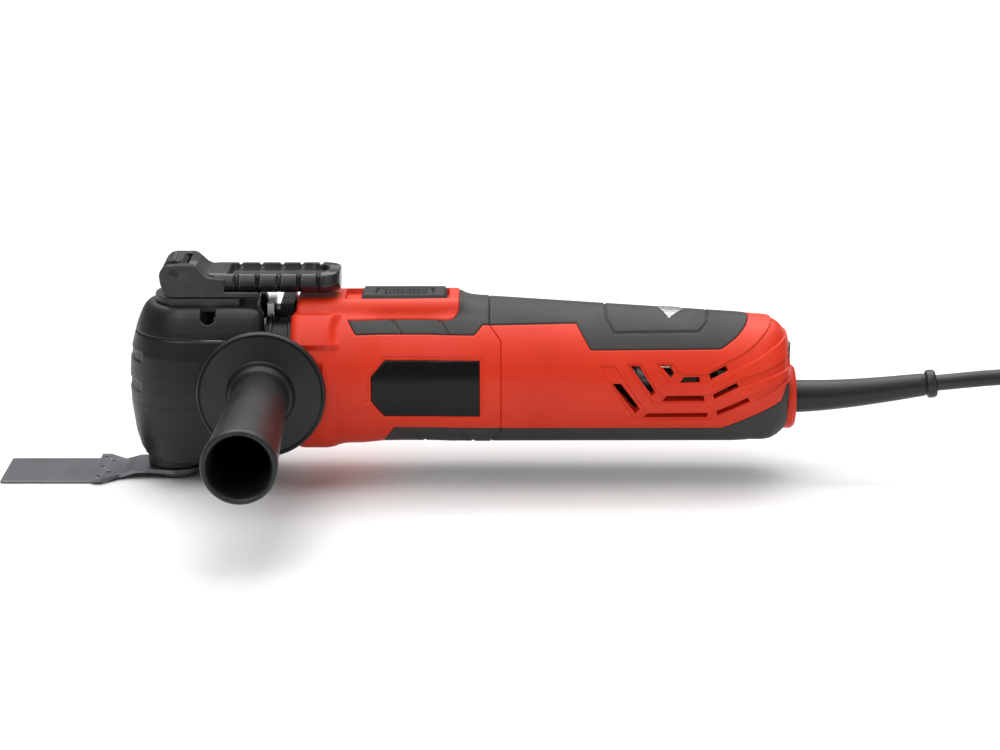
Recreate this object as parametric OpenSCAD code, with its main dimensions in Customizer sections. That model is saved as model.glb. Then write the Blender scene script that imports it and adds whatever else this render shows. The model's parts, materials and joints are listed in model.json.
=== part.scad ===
// Oscillating multi tool with a quick-clamp lever, side handle, plunge saw blade and mains cord.
// Millimetres. The origin is on the output spindle's axis, on the clamp bolt's flat underside.
// +X runs along the body towards the cord, +Z up towards the lever, and the side handle points to -Y.

/* [Body] */
// Height of the motor axis above the bolt's underside
motor_z = 47; // [46.5:0.5:47.5]
// Wall of the plastic shells
wall = 2.8; // [2.4:0.1:3.0]
// Thickness of the soft grip inlays
pad_t = 1.6; // [1.2:0.1:2.0]
// Length of the rear collar around the cord boot
collar_len = 3.4; // [3:0.2:6]
// Travel of the switch button
switch_travel = 6.5; // [5:0.5:6.5]

/* [Gearbox] */
// Offset of the eccentric from the motor axis
eccentric_off = 0.85; // [0.6:0.05:0.85]
// Outer radius of the output spindle
spindle_r = 7.5; // [7.3:0.1:7.6]
// Outer radius of the drive flange
flange_r = 12.6; // [12:0.1:13]

/* [Lever] */
// Length of the lever from its pin to the grip's end
lever_len = 70.8; // [66:0.2:74]
// Half of the width over the lever's ears
ear_half = 14; // [13.5:0.5:15]

/* [Side handle] */
// Radius of the guard disc
guard_r = 27.4; // [24:0.1:29]
// Length of the handle from the guard's back to the open end
handle_len = 106; // [95:1:120]
// Outer radius of the handle at its open end
handle_end_r = 15.2; // [14.5:0.1:16]

/* [Blade] */
// Reach of the saw teeth in front of the spindle axis
blade_reach = 75.5; // [70:0.5:85]
// Width of the saw blade
blade_w = 34; // [28:1:36]
// Thickness of the saw blade
blade_t = 1.2; // [1:0.1:1.4]

/* [Cord] */
// Diameter of the mains cord
cord_d = 7; // [6:0.5:7]

/* [Display] */
// Piece to build

/* [Hidden] */
$fn = 72;
run_gap = 0.05;

red = [0.82, 0.22, 0.14];
dark = [0.13, 0.13, 0.14];
grey = [0.3, 0.3, 0.3];
steel = [0.62, 0.63, 0.65];
black_steel = [0.2, 0.2, 0.21];
alloy = [0.7, 0.7, 0.7];
copper = [0.72, 0.42, 0.25];
brass = [0.75, 0.62, 0.3];

// The rear body is a slightly tapering cone, tilted so that its underside stays level.
rear_x = 120;
rear_tilt = 1.854;
rear_rise = 0.9;
rear_form_points = [[0, 32.1], [123, 28.1], [132, 27.2], [138, 25.6], [142, 23.2], [144.5, 20.5], [146, 17]];
front_form_points = [[54.5, 31.4], [56.5, 33.3], [67, 33.3], [71, 32.2], [82, 32], [91, 30.9], [110, 30.9],
  [124, 31.7], [141, 31.5]];
saddle_side = [[54.5, 50], [54.5, 78.5], [57, 80.6], [122, 81], [124, 80.6], [128.5, 77.9], [139, 76.9],
  [139, 50]];
saddle_half = 14;
saddle_top = 81;
front_part = [[40, -10], [40, 110], [136.8, 110], [136.8, 72], [141.8, 66], [141.8, 26], [137.6, 20],
  [137.6, -10]];
rear_part = [[300, -10], [300, 110], [136.8, 110], [136.8, 72], [141.8, 66], [141.8, 26], [137.6, 20],
  [137.6, -10]];
front_grip_side = [[76.5, 73.5], [80, 68.5], [130.5, 68.4], [134, 72], [146, 72], [146, 95], [124, 95],
  [124, 76], [119, 73.5]];
rear_grip_side = [[130, 71.9], [174, 71.8], [180, 62.2], [235.5, 61.8], [249, 71.4], [249, 95], [130, 95]];
front_pad_side = [[91, 5], [91, 18], [96, 27.5], [150, 27.2], [150, 5]];
rear_pad_side = [[130, 5], [130, 27], [236.5, 26.6], [262, 38.9], [264.3, 45.4], [275, 45.4], [275, 5]];
plate_side = [[86.7, 53.7], [92.5, 58.7], [132.8, 58.7], [132.8, 33.2], [92, 33.2], [86.7, 40.8]];
vent_slots = [
  [[189.1, 48.3], [192.9, 48.3], [201.2, 36.4], [199.3, 33.8]],
  [[196.8, 56], [200.7, 56], [207.6, 44.1], [206, 42.5]],
  [[209.7, 56], [213.9, 56], [215.5, 52.6], [214.1, 50.7]],
  [[202.5, 32], [204.4, 34.1], [230, 34.2], [230, 32]],
  [[210.3, 40.1], [212.2, 42.5], [228.1, 42.5], [228.5, 40.1]],
  [[217.8, 48.5], [219.5, 51], [226.3, 51], [226.5, 48.6]],
  [[233.8, 35], [247, 41.4], [248, 39.6], [234.4, 33]],
  [[232, 43.1], [242, 48.3], [243.2, 46.5], [232.8, 41]],
  [[230.2, 52.2], [237.6, 55.8], [238.5, 53.7], [231.2, 49.8]]];
// Each screw's place and how far out its head sits.
shell_screw_places = [[76, 28, 19.6], [79.6, 62.5, 19.6], [108, 22.9, 12.6], [190, 22.6, 12.6],
  [232, 22.6, 12.6], [182.2, 66.8, 15]];
screw_r = 2;
gear_screw_off = 15.5;
body_reach = 320;
lens_x = 215.3;
lens_half_x = 5.8;
lens_half_y = 10.4;
dial_x = 255.8;
dial_r = 11.5;
collar_x = 264.4;
boot_root_r = 7.25;
switch_recess_x = [75, 119.8];
switch_recess_half = 9.4;
switch_floor = 78.4;
slot_x = [88, 106.4];
slot_half = 3.4;
screw_head_r = 3.6;

// Head: a round-nosed cover around the gear housing, seamed below its cap.
head_x = 8.5;
head_back = 40.5;
head_seam_z = 66;
head_outline = [[20.9, 10.5], [23.9, 14.7], [25.7, 21.5], [27.2, 33], [27.6, 42], [27.4, 48.7], [26.7, 57.7],
  [25, 64.4], [24.6, 66], [23.7, 69], [21.2, 75], [18.9, 77.8], [17.2, 78.6]];
head_wall = 2.6;
cap_top = 78.6;
cam_top = 81.8;
barrel_case_r = 17.5;
chamber_r = 19;
chamber_low = 35.5;
chamber_high = 57.8;
bearing_w = 7;
spindle_bearing_r = 12;
spindle_bearing_w = 5;
low_bearing_z = 20;
high_bearing_z = 58;
motor_bearing_r = 11;
shaft_r = 4;
neck_r = 28.5;
housing_r = 24.3;
housing_end = 58;

// Side handle and its threaded bosses
boss_x = 40.4;
boss_z = 45.5;
boss_r = 8.5;
boss_y = 33.6;
thread_r = 4;
thread_depth = 12.5;

// Quick clamp
pin_x = 2.2;
pin_z = 92.4;
pin_r = 1.9;
rod_r = 4;
bolt_r = 5;
bore_r = 5.05;
bolt_top = 28;
rod_top = 88.2;
drive_pin_circle = 8.2;
hub_low = 3;
hub_high = 4.7;
flange_top = 9.5;
spindle_len = 53.6;
// How far the rod moves down as the lever opens, with the space left for it.
rod_gap = 2.3;

// Motor
stator_x = 134;
stator_len = 38;
stator_r = 25.5;
core_r = 14.8;
commutator_x = 178;
commutator_r = 11;
brush_x = 183.2;
rear_bearing_x = 200;
fan_x = 116;
eccentric_x = 27;

// Cord: from the boot's bead to a coil that lies on the same surface as the tool
exit_z = 34.8;
boot_tilt = 5.52;
boot_len = 60.2;
coil_x = 430;
coil_y = 38.5;
coil_in = 35;
coil_mid = 42;
coil_out = 49;
coil_base = 0.8;
lead_route = [[331.2, 0, 40.6], [345, 0, 42], [359, 0, 43.2], [373, 0, 43], [387, 0, 39.2], [401, 0, 33],
  [413, 0, 28.2]];
tail_route = [[430, -7, 21], [441, -5.5, 26], [451, 0, 32], [458.5, 8, 37], [462, 18, 40.5], [463, 28, 42]];
plug_x = 463;
plug_y = 28;
plug_z = 42;

function unit(v) = v / norm(v);
function heading(path, i) = unit(path[min(i + 1, len(path) - 1)] - path[max(i - 1, 0)]);
function across(d) = unit(cross(d, abs(d[2]) > 0.8 ? [1, 0, 0] : [0, 0, 1]));
function ring(p, d, r, sides) = [for (k = [0 : sides - 1])
  let (u = across(d), v = cross(u, d), a = 360 * (k + 0.5) / sides) p + r * (cos(a) * u + sin(a) * v)];

// A tube of several flat sides that follows a path, closed at both ends.
module swept(path, r, sides) {
  rings = len(path);
  points = [for (i = [0 : rings - 1]) each ring(path[i], heading(path, i), r, sides)];
  walls = [for (i = [0 : rings - 2], k = [0 : sides - 1])
    let (n = (k + 1) % sides) [i * sides + k, (i + 1) * sides + k, (i + 1) * sides + n, i * sides + n]];
  first = [for (k = [0 : sides - 1]) k];
  last = [for (k = [sides - 1 : -1 : 0]) (rings - 1) * sides + k];
  polyhedron(points, concat(walls, [first], [last]), convexity = 8);
}

module along_x(x, len, r, y = 0, z = motor_z) {
  translate([x, y, z]) rotate([0, 90, 0]) cylinder(h = len, r = r);
}

module along_y(x, z, from, to, r) {
  translate([x, from, z]) rotate([-90, 0, 0]) cylinder(h = to - from, r = r);
}

module upright(z, height, r, x = 0, y = 0) {
  translate([x, y, z]) cylinder(h = height, r = r);
}

module block(x, y, z) {
  translate([x[0], y[0], z[0]]) cube([x[1] - x[0], y[1] - y[0], z[1] - z[0]]);
}

module side_prism(points, half = 60) {
  rotate([90, 0, 0]) linear_extrude(height = 2 * half, center = true) polygon(points);
}

module half_space(side) {
  if (side < 0) {
    block([0, body_reach], [-60, 0], [-20, 120]);
  } else {
    block([0, body_reach], [0, 60], [-20, 120]);
  }
}

module round_bar(length, half, top, corner) {
  // A flat-topped ridge with two rounded upper edges, seen along X.
  rotate([90, 0, 90]) linear_extrude(height = length) union() {
    translate([-half, 40]) square([2 * half, top - corner - 40]);
    translate([-half + corner, 40]) square([2 * (half - corner), top - 40]);
    translate([-half + corner, top - corner]) circle(r = corner);
    translate([half - corner, top - corner]) circle(r = corner);
  }
}

module front_form(g) {
  n = len(front_form_points) - 1;
  inner = [for (p = front_form_points) [p[1] + g, p[0]]];
  start = front_form_points[0][0] - g;
  translate([0, 0, motor_z]) rotate([0, 90, 0]) rotate_extrude()
    polygon(concat([[0, start], [inner[0][0], start]], [for (i = [1 : n]) inner[i]],
      [[0, front_form_points[n][0]]]));
  intersection() {
    translate([start, 0, g]) round_bar(90, saddle_half + g, saddle_top, 5);
    translate([0, 0, g]) side_prism(saddle_side);
  }
}

module rear_form(g) {
  n = len(rear_form_points) - 1;
  end = rear_form_points[n][0] + g;
  translate([rear_x, 0, motor_z + rear_rise]) rotate([0, 90 + rear_tilt, 0]) rotate_extrude()
    polygon(concat([[0, 0]], [for (i = [0 : n - 2]) [rear_form_points[i][1] + g, rear_form_points[i][0]]],
      [[rear_form_points[n - 1][1] + g, end - 1.5], [rear_form_points[n][1] + g, end], [0, end]]));
}

module body_form(g) {
  front_form(g);
  rear_form(g);
}

// The body's form for the front half or for the rear half alone.
module form_of(part, g) {
  if (part == front_part) {
    body_form(g);
  } else {
    rear_form(g);
  }
}

module recess(part, side_points, depth) {
  difference() {
    side_prism(side_points);
    form_of(part, -depth);
  }
}

module skin(part, side_points, depth, sunk = 0) {
  intersection() {
    difference() {
      form_of(part, -sunk);
      form_of(part, -depth);
    }
    side_prism(side_points);
    side_prism(part);
  }
}

module screw_tunnels() {
  for (p = shell_screw_places) {
    along_y(p[0], p[1], -40, 40, 4.2);
  }
}

module screw_holes() {
  for (p = shell_screw_places) {
    along_y(p[0], p[1], -15, p[2] - 2.6, screw_r + run_gap);
    along_y(p[0], p[1], p[2] - 2.7, 45, screw_head_r + run_gap);
  }
}

module front_shell(side) {
  color(red) intersection() {
    half_space(side);
    side_prism(front_part);
    difference() {
      body_form(0);
      difference() {
        body_form(-wall);
        screw_tunnels();
        along_x(58.2, 2.8, 33);
      }
      along_x(50, 8.2, housing_r + 0.2);
      along_x(50, 20, 10);
      for (y = [-gear_screw_off, gear_screw_off], z = [-gear_screw_off, gear_screw_off]) {
        along_x(50, 20, screw_r + 0.15, y, motor_z + z);
      }
      screw_holes();
      recess(front_part, front_grip_side, pad_t);
      recess(front_part, front_pad_side, pad_t);
      recess(front_part, plate_side, 2);
      block(switch_recess_x, [-switch_recess_half, switch_recess_half], [switch_floor, 90]);
      block(slot_x, [-slot_half, slot_half], [60, 90]);
    }
  }
}

module rear_shell(side) {
  color(red) intersection() {
    half_space(side);
    side_prism(rear_part);
    difference() {
      rear_form(0);
      difference() {
        rear_form(-wall);
        screw_tunnels();
        difference() {
          union() {
            along_x(stator_x + 6, 3, 40);
            along_x(stator_x + 28, 3, 40);
          }
          along_x(stator_x, stator_len, stator_r + run_gap);
        }
        difference() {
          along_x(rear_bearing_x - 1, 9, 40);
          for (a = [45 : 90 : 315]) {
            along_x(rear_bearing_x - 2, 12, 4.5, 17.5 * cos(a), motor_z + 17.5 * sin(a));
          }
        }
      }
      along_x(rear_bearing_x - 2, 12, 9);
      along_x(rear_bearing_x, bearing_w, motor_bearing_r);
      screw_holes();
      recess(rear_part, rear_grip_side, pad_t);
      recess(rear_part, rear_pad_side, pad_t);
      difference() {
        for (s = vent_slots) {
          side_prism(s);
        }
        along_x(180, 80, 23.5);
      }
      block([243.6, 275], [-12.2, 12.2], [50.8, 59.2]);
      along_x(250, 30, boot_root_r + 0.15, 0, exit_z);
      lens_prism(0.12);
    }
  }
}

module front_shell_left() {
  front_shell(-1);
}

module front_shell_right() {
  front_shell(1);
}

module rear_shell_left() {
  rear_shell(-1);
}

module rear_shell_right() {
  rear_shell(1);
}

// Each inlay is two pieces, one on each half of the body, a hair apart at the seam.
module seam_gap() {
  difference() {
    children();
    block([0, body_reach], [-0.1, 0.1], [-20, 120]);
  }
}

module front_grips() {
  color(grey) seam_gap() skin(front_part, front_grip_side, pad_t);
}

module rear_grips() {
  color(grey) difference() {
    seam_gap() skin(rear_part, rear_grip_side, pad_t);
    lens_prism(0.12);
    screw_holes();
  }
}

module front_pads() {
  color(grey) difference() {
    seam_gap() skin(front_part, front_pad_side, pad_t);
    screw_holes();
  }
}

module rear_pads() {
  color(grey) difference() {
    seam_gap() skin(rear_part, rear_pad_side, pad_t);
    along_x(250, 30, boot_root_r + 0.35, 0, exit_z);
    screw_holes();
  }
}

module side_plates() {
  color(dark) skin(front_part, plate_side, 2, 0.6);
}

// The lozenge-shaped window across the top of the rear body.
module lens_prism(g) {
  translate([lens_x, 0, 60]) linear_extrude(height = 40)
    polygon([[-lens_half_x - g, 0], [-1.6, -lens_half_y - g], [lens_half_x + g, 0], [-1.6, lens_half_y + g]]);
}

module indicator_lens() {
  color([0.8, 0.85, 0.85, 0.6]) intersection() {
    difference() {
      rear_form(0.4);
      rear_form(-wall);
    }
    lens_prism(0);
  }
}

module cord_collar() {
  color(red) difference() {
    union() {
      along_x(collar_x, collar_len, 14, 0, exit_z);
      translate([collar_x + collar_len, 0, exit_z]) rotate([0, 90, 0]) cylinder(h = 1.6, r1 = 14, r2 = 12.6);
    }
    along_x(250, 40, boot_root_r + 0.15, 0, exit_z);
    rear_form(0.02);
  }
}

module shell_screws() {
  color(steel) for (p = shell_screw_places) {
    along_y(p[0], p[1], -14.8, p[2] - 2.6, screw_r);
    difference() {
      along_y(p[0], p[1], p[2] - 2.6, p[2], screw_head_r);
      along_y(p[0], p[1], p[2] - 1.4, p[2] + 1, 1.4);
    }
  }
}

module gear_screws() {
  color(steel) for (y = [-gear_screw_off, gear_screw_off], z = [-gear_screw_off, gear_screw_off]) {
    along_x(48.2, 12.8, screw_r, y, motor_z + z);
    difference() {
      along_x(61, 3, screw_head_r, y, motor_z + z);
      along_x(62.6, 2, 1.4, y, motor_z + z);
    }
  }
}

module chamber() {
  intersection() {
    union() {
      along_x(0, 46, chamber_r);
      upright(chamber_low, chamber_high - chamber_low, 15.4);
    }
    block([-30, 60], [-30, 30], [chamber_low, chamber_high]);
  }
}

module gear_housing() {
  color(alloy) difference() {
    union() {
      intersection() {
        upright(12.9, 62, barrel_case_r);
        head_form(-head_wall - 0.3);
      }
      along_x(6, housing_end - 6, housing_r - 2);
      along_x(41.2, housing_end - 41.2, housing_r);
      along_y(boss_x, boss_z, -boss_y, boss_y, boss_r);
      block([41.8, 44.6], [-10, 10], [60, 78.6]);
    }
    chamber();
    upright(low_bearing_z, spindle_bearing_w, spindle_bearing_r);
    upright(10, 30, 10.4);
    upright(high_bearing_z - 1, spindle_bearing_w + 1, spindle_bearing_r);
    upright(62, 11, 8.6);
    upright(70, 10, rod_r + 0.3);
    along_x(40, 20, 6.4);
    along_x(51, 10, motor_bearing_r);
    for (y = [-gear_screw_off, gear_screw_off], z = [-gear_screw_off, gear_screw_off]) {
      along_x(48, 12, screw_r + run_gap, y, motor_z + z);
    }
    along_y(boss_x, boss_z, boss_y - thread_depth, 40, thread_r + run_gap);
    along_y(boss_x, boss_z, -40, thread_depth - boss_y, thread_r + run_gap);
  }
}

// The head's outer shape: half a turn in front of the round nose's centre, straight behind it.
module head_form(g) {
  shape = concat([[0, head_outline[0][1]]], [for (p = head_outline) [p[0] + g, p[1]]],
    [[0, head_outline[12][1]]]);
  mirrored = [for (i = [len(head_outline) - 1 : -1 : 0]) [-head_outline[i][0] - g, head_outline[i][1]]];
  right_side = [for (p = head_outline) [p[0] + g, p[1]]];
  translate([head_x, 0, 0]) rotate([0, 0, 90]) rotate_extrude(angle = 180) polygon(shape);
  translate([head_x, 0, 0]) rotate([90, 0, 90]) linear_extrude(height = head_back - head_x)
    polygon(concat(right_side, mirrored));
}

module head_cover() {
  color(dark) difference() {
    intersection() {
      head_form(0);
      block([-40, 60], [-40, 40], [0, head_seam_z - 0.15]);
    }
    intersection() {
      union() {
        head_form(-head_wall);
        block([head_x, 60], [-23, 23], [15, 70]);
      }
      block([-40, 60], [-40, 40], [12.6, 80]);
    }
    upright(0, 20, 13.6);
    along_y(boss_x, boss_z, -40, 40, boss_r + 0.2);
    for (y = [-24, 24], x = [14, 26]) {
      block([x, x + 6], [y - 9, y + 9], [14.5, 16.6]);
    }
  }
}

module head_cap() {
  color(dark) difference() {
    intersection() {
      head_form(0);
      block([-40, 60], [-40, 40], [head_seam_z + 0.15, cap_top]);
    }
    intersection() {
      head_form(-head_wall);
      block([-40, 60], [-40, 40], [60, 75.2]);
    }
    upright(60, 30, rod_r + 0.4);
    block([37.5, 60], [-10.4, 10.4], [60, 90]);
    block([head_x, 60], [-17, 17], [60, 73.5]);
    block([14, 20.5], [-30, -17.5], [72.5, 90]);
    block([14, 20.5], [17.5, 30], [72.5, 90]);
  }
}

module cam_plate() {
  color(black_steel) difference() {
    block([-7, 30], [-14, 14], [cap_top, cam_top]);
    upright(60, 40, rod_r + 0.4);
    difference() {
      block([-8, 0], [-15, 15], [70, 90]);
      upright(60, 40, 15.6, 8.5);
    }
  }
}

module neck_ring() {
  color(dark) difference() {
    union() {
      along_x(41.3, 12.9, neck_r);
      side_prism([[46.4, 60], [47.6, 79.2], [53.4, 79.6], [54.2, 60]], 12);
      along_x(42.6, 1.6, neck_r + 0.8);
      along_x(50.8, 1.6, neck_r + 0.8);
    }
    along_x(40, 20, housing_r + 0.1);
    along_y(boss_x, boss_z, -40, 40, boss_r + 0.2);
    block([41, 44.8], [-10.2, 10.2], [60, 90]);
  }
}

module stator() {
  color(steel) difference() {
    along_x(stator_x, stator_len, stator_r);
    along_x(stator_x - 1, stator_len + 2, 15.6);
    for (y = [-1, 1]) {
      intersection() {
        difference() {
          along_x(stator_x - 1, stator_len + 2, 21);
          along_x(stator_x - 1, stator_len + 2, 15);
        }
        block([stator_x - 2, stator_x + 50], [min(y, 0) * 30 + (y > 0 ? 9 : 0), max(y, 0) * 30 - (y < 0 ? 9 : 0)],
          [motor_z - 9, motor_z + 9]);
      }
    }
  }
}

module field_coils() {
  color(copper) for (x = [stator_x - 6, stator_x + stator_len], z = [-1, 1]) {
    intersection() {
      difference() {
        along_x(x, 6, 23.5);
        along_x(x - 1, 8, 16.2);
      }
      block([x - 1, x + 8], [-22, 22], [z > 0 ? motor_z + 4 : motor_z - 30, z > 0 ? motor_z + 30 : motor_z - 4]);
    }
  }
}

module bearing(x) {
  difference() {
    along_x(x, bearing_w, motor_bearing_r);
    along_x(x - 1, bearing_w + 2, shaft_r + run_gap);
    difference() {
      along_x(x - 0.1, 0.7, 9);
      along_x(x - 1, 3, 6);
    }
  }
}

module motor_bearings() {
  color(steel) {
    bearing(51);
    bearing(rear_bearing_x);
  }
}

module spindle_bearings() {
  color(steel) for (z = [low_bearing_z, high_bearing_z]) {
    difference() {
      upright(z, spindle_bearing_w, spindle_bearing_r);
      upright(z - 1, spindle_bearing_w + 2, spindle_r + run_gap);
      difference() {
        upright(z - 0.1, 0.8, 10.8);
        upright(z - 1, 3, 8.8);
      }
    }
  }
}

module brush_holders() {
  color(brass) for (side = [-1, 1]) {
    difference() {
      block([brush_x - 5, brush_x + 5], [side > 0 ? 13 : -25, side > 0 ? 25 : -13], [motor_z - 6, motor_z + 6]);
      block([brush_x - 3.6, brush_x + 3.6], [side > 0 ? 12 : -24, side > 0 ? 24 : -12],
        [motor_z - 4.6, motor_z + 4.6]);
    }
  }
}

module brushes() {
  color([0.16, 0.16, 0.17]) for (side = [-1, 1]) {
    difference() {
      block([brush_x - 3.4, brush_x + 3.4], [side > 0 ? 9 : -18, side > 0 ? 18 : -9],
        [motor_z - 4.4, motor_z + 4.4]);
      along_x(brush_x - 10, 20, commutator_r + run_gap);
    }
  }
}

function coil_path(r, from, to, turns, steps) = [for (i = [0 : turns * steps])
  [r * cos(360 * i / steps), r * sin(360 * i / steps), from + (to - from) * i / (turns * steps)]];

module brush_springs() {
  color(steel) for (side = [-1, 1]) {
    translate([brush_x, 0, motor_z]) rotate([-90 * side, 0, 0]) swept(coil_path(2.6, 18.4, 23.6, 4, 10), 0.35, 6);
  }
}

module switch_module() {
  color(dark) difference() {
    union() {
      block([84, 112], [-8, 8], [57.5, 70]);
      block([86, 90], [-3, -1], [53.5, 57.5]);
      block([106, 110], [1, 3], [53.5, 57.5]);
    }
    block(slot_x, [-slot_half, slot_half], [66, 75]);
  }
}

module speed_controller() {
  color([0.12, 0.35, 0.2]) {
    block([212, 258.4], [-15, 15], [40.6, 42.2]);
    block([216, 226], [-12, -2], [42.2, 52]);
    block([228, 236], [0, 11], [42.2, 49]);
    upright(30.6, 10, 4.5, 222, 6);
    block([249, 258.4], [-6, 6], [42.2, 48]);
    upright(48, 10, 2, dial_x);
  }
}

module cord_clamp() {
  color(dark) {
    difference() {
      block([247, 254], [-10, 10], [26.4, 31.3]);
      along_x(240, 30, cord_d / 2, 0, exit_z);
    }
    for (y = [-7, 7]) {
      upright(31.3, 5, 1.6, 250.5, y);
    }
  }
}

module cord_boot() {
  color(dark) difference() {
    union() {
      along_x(259, 9, boot_root_r, 0, exit_z);
      along_x(259.2, 2.2, 8.7, 0, exit_z);
      translate([266.5, 0, exit_z]) rotate([0, 90 - boot_tilt, 0]) union() {
        cylinder(h = boot_len + 4.8, r1 = 7.2, r2 = 4.9);
        translate([0, 0, boot_len + 0.6]) cylinder(h = 4.4, r = 6.15);
      }
    }
  }
}

module cord() {
  color(dark) {
    swept(lead_route, cord_d / 2, 8);
    swept(tail_route, cord_d / 2, 8);
  }
}

module cord_coil() {
  color(dark) translate([coil_x, coil_y, coil_base]) rotate_extrude()
    polygon([[coil_in + 1, 0], [coil_out - 1, 0], [coil_out, 1], [coil_out, 20], [coil_out - 1, 21],
      [coil_mid, 21], [coil_mid, 27], [coil_mid - 1, 28], [coil_in + 1, 28], [coil_in, 27], [coil_in, 1]]);
}

module cord_tie() {
  color([0.2, 0.2, 0.2]) translate([coil_x, coil_y, 0]) rotate([0, 0, 120]) difference() {
    translate([coil_in - 0.8, -2.5, 0]) cube([coil_out - coil_in + 1.6, 5, 29.6]);
    translate([coil_in, -3, 0.8]) cube([coil_out - coil_in, 6, 28]);
    translate([coil_mid + 0.8, -3, 22.6]) cube([20, 6, 20]);
  }
  color([0.2, 0.2, 0.2]) translate([coil_x, coil_y, 0]) rotate([0, 0, 120])
    translate([coil_mid, -2.5, 21.8]) cube([coil_out - coil_mid + 0.8, 5, 0.8]);
}

module plug() {
  color(dark) translate([plug_x, plug_y, plug_z]) rotate([-90, 0, 0]) {
    cylinder(h = 16, r1 = 5, r2 = 7.5);
    intersection() {
      union() {
        translate([0, 0, 15]) cylinder(h = 18, r1 = 11, r2 = 17);
        translate([0, 0, 33]) cylinder(h = 12, r = 18.4);
      }
      translate([-20, -13.2, 0]) cube([40, 26.4, 60]);
    }
  }
}

module plug_pins() {
  color(steel) for (x = [-9.5, 9.5]) {
    along_y(plug_x + x, plug_z, plug_y + 45, plug_y + 63, 2.4);
  }
}

module armature() {
  color(steel) difference() {
    along_x(stator_x, stator_len, core_r);
    along_x(stator_x - 1, stator_len + 2, shaft_r);
    for (a = [0 : 30 : 330]) {
      translate([stator_x - 1, 0, motor_z]) rotate([a, 0, 0]) translate([0, -0.8, 12.2]) cube([50, 1.6, 4]);
    }
  }
}

module armature_windings() {
  color(copper) for (x = [stator_x - 5, stator_x + stator_len]) {
    difference() {
      along_x(x, 5, 13);
      along_x(x - 1, 8, shaft_r);
    }
  }
}

module motor_shaft() {
  color(steel) along_x(34, rear_bearing_x + bearing_w - 34 + 1, shaft_r);
}

module commutator() {
  color(copper) difference() {
    along_x(commutator_x, 14, commutator_r);
    along_x(commutator_x - 1, 16, shaft_r);
    for (a = [0 : 30 : 330]) {
      translate([commutator_x - 1, 0, motor_z]) rotate([a, 0, 0]) translate([0, -0.25, 10.3]) cube([14, 0.5, 2]);
    }
  }
}

module fan() {
  color([0.85, 0.83, 0.75]) difference() {
    union() {
      along_x(fan_x, 1.6, 24.2);
      along_x(fan_x, 9, 7);
      for (a = [0 : 40 : 320]) {
        translate([fan_x + 1, 0, motor_z]) rotate([a, 0, 0]) translate([0, -0.7, 11]) cube([8, 1.4, 12.8]);
      }
    }
    along_x(fan_x - 1, 12, shaft_r);
  }
}

module eccentric() {
  color(steel) difference() {
    union() {
      along_x(eccentric_x - 0.5, 7.1, shaft_r, 0, motor_z + eccentric_off);
      along_x(eccentric_x + 6.6, 10.2, 7.2);
    }
    along_x(34, 20, shaft_r);
  }
}

module eccentric_bearing() {
  color(steel) difference() {
    along_x(eccentric_x, 6, 8, 0, motor_z + eccentric_off);
    along_x(eccentric_x - 1, 8, shaft_r, 0, motor_z + eccentric_off);
  }
}

module spindle() {
  color(steel) difference() {
    upright(flange_top, spindle_len, spindle_r);
    upright(0, 80, bore_r);
  }
}

module drive_fork() {
  color(steel) difference() {
    union() {
      upright(40, 14, 11);
      block([4, 34.4], [-14.3, 14.3], [40.4, 53.6]);
    }
    block([17, 40], [-9.8, 9.8], [30, 60]);
    upright(30, 40, spindle_r);
  }
}

module drive_flange() {
  color(black_steel) {
    difference() {
      union() {
        translate([0, 0, hub_high]) cylinder(h = 1.2, r1 = flange_r - 1, r2 = flange_r);
        upright(hub_high + 1.2, flange_top - hub_high - 1.2, flange_r);
      }
      upright(0, 20, bore_r);
    }
    for (a = [45 : 90 : 315]) {
      upright(hub_low + 0.2, hub_high - hub_low - 0.2, 1.2, drive_pin_circle * cos(a), drive_pin_circle * sin(a));
    }
  }
}

module clamp_rod() {
  color(steel) {
    upright(bolt_top + rod_gap, rod_top - bolt_top - rod_gap, rod_r);
    difference() {
      upright(flange_top + spindle_len + rod_gap, 1, 8.2);
      upright(60, 10, rod_r);
    }
  }
}

module clamp_barrel() {
  color(black_steel) difference() {
    union() {
      along_y(pin_x, pin_z, -9.6, 9.6, 5);
      for (a = [0 : 30 : 330]) {
        translate([pin_x, 0, pin_z]) rotate([0, a, 0]) translate([4.6, -8.6, -0.5]) cube([0.8, 17.2, 1]);
      }
    }
    along_y(pin_x, pin_z, -12, 12, pin_r + run_gap);
    block([-10, 20], [-12, 12], [70, rod_top]);
  }
}

module clamp_spring() {
  color(steel) swept(coil_path(6, 67.2, 72, 4, 12), 0.7, 6);
}

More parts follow.
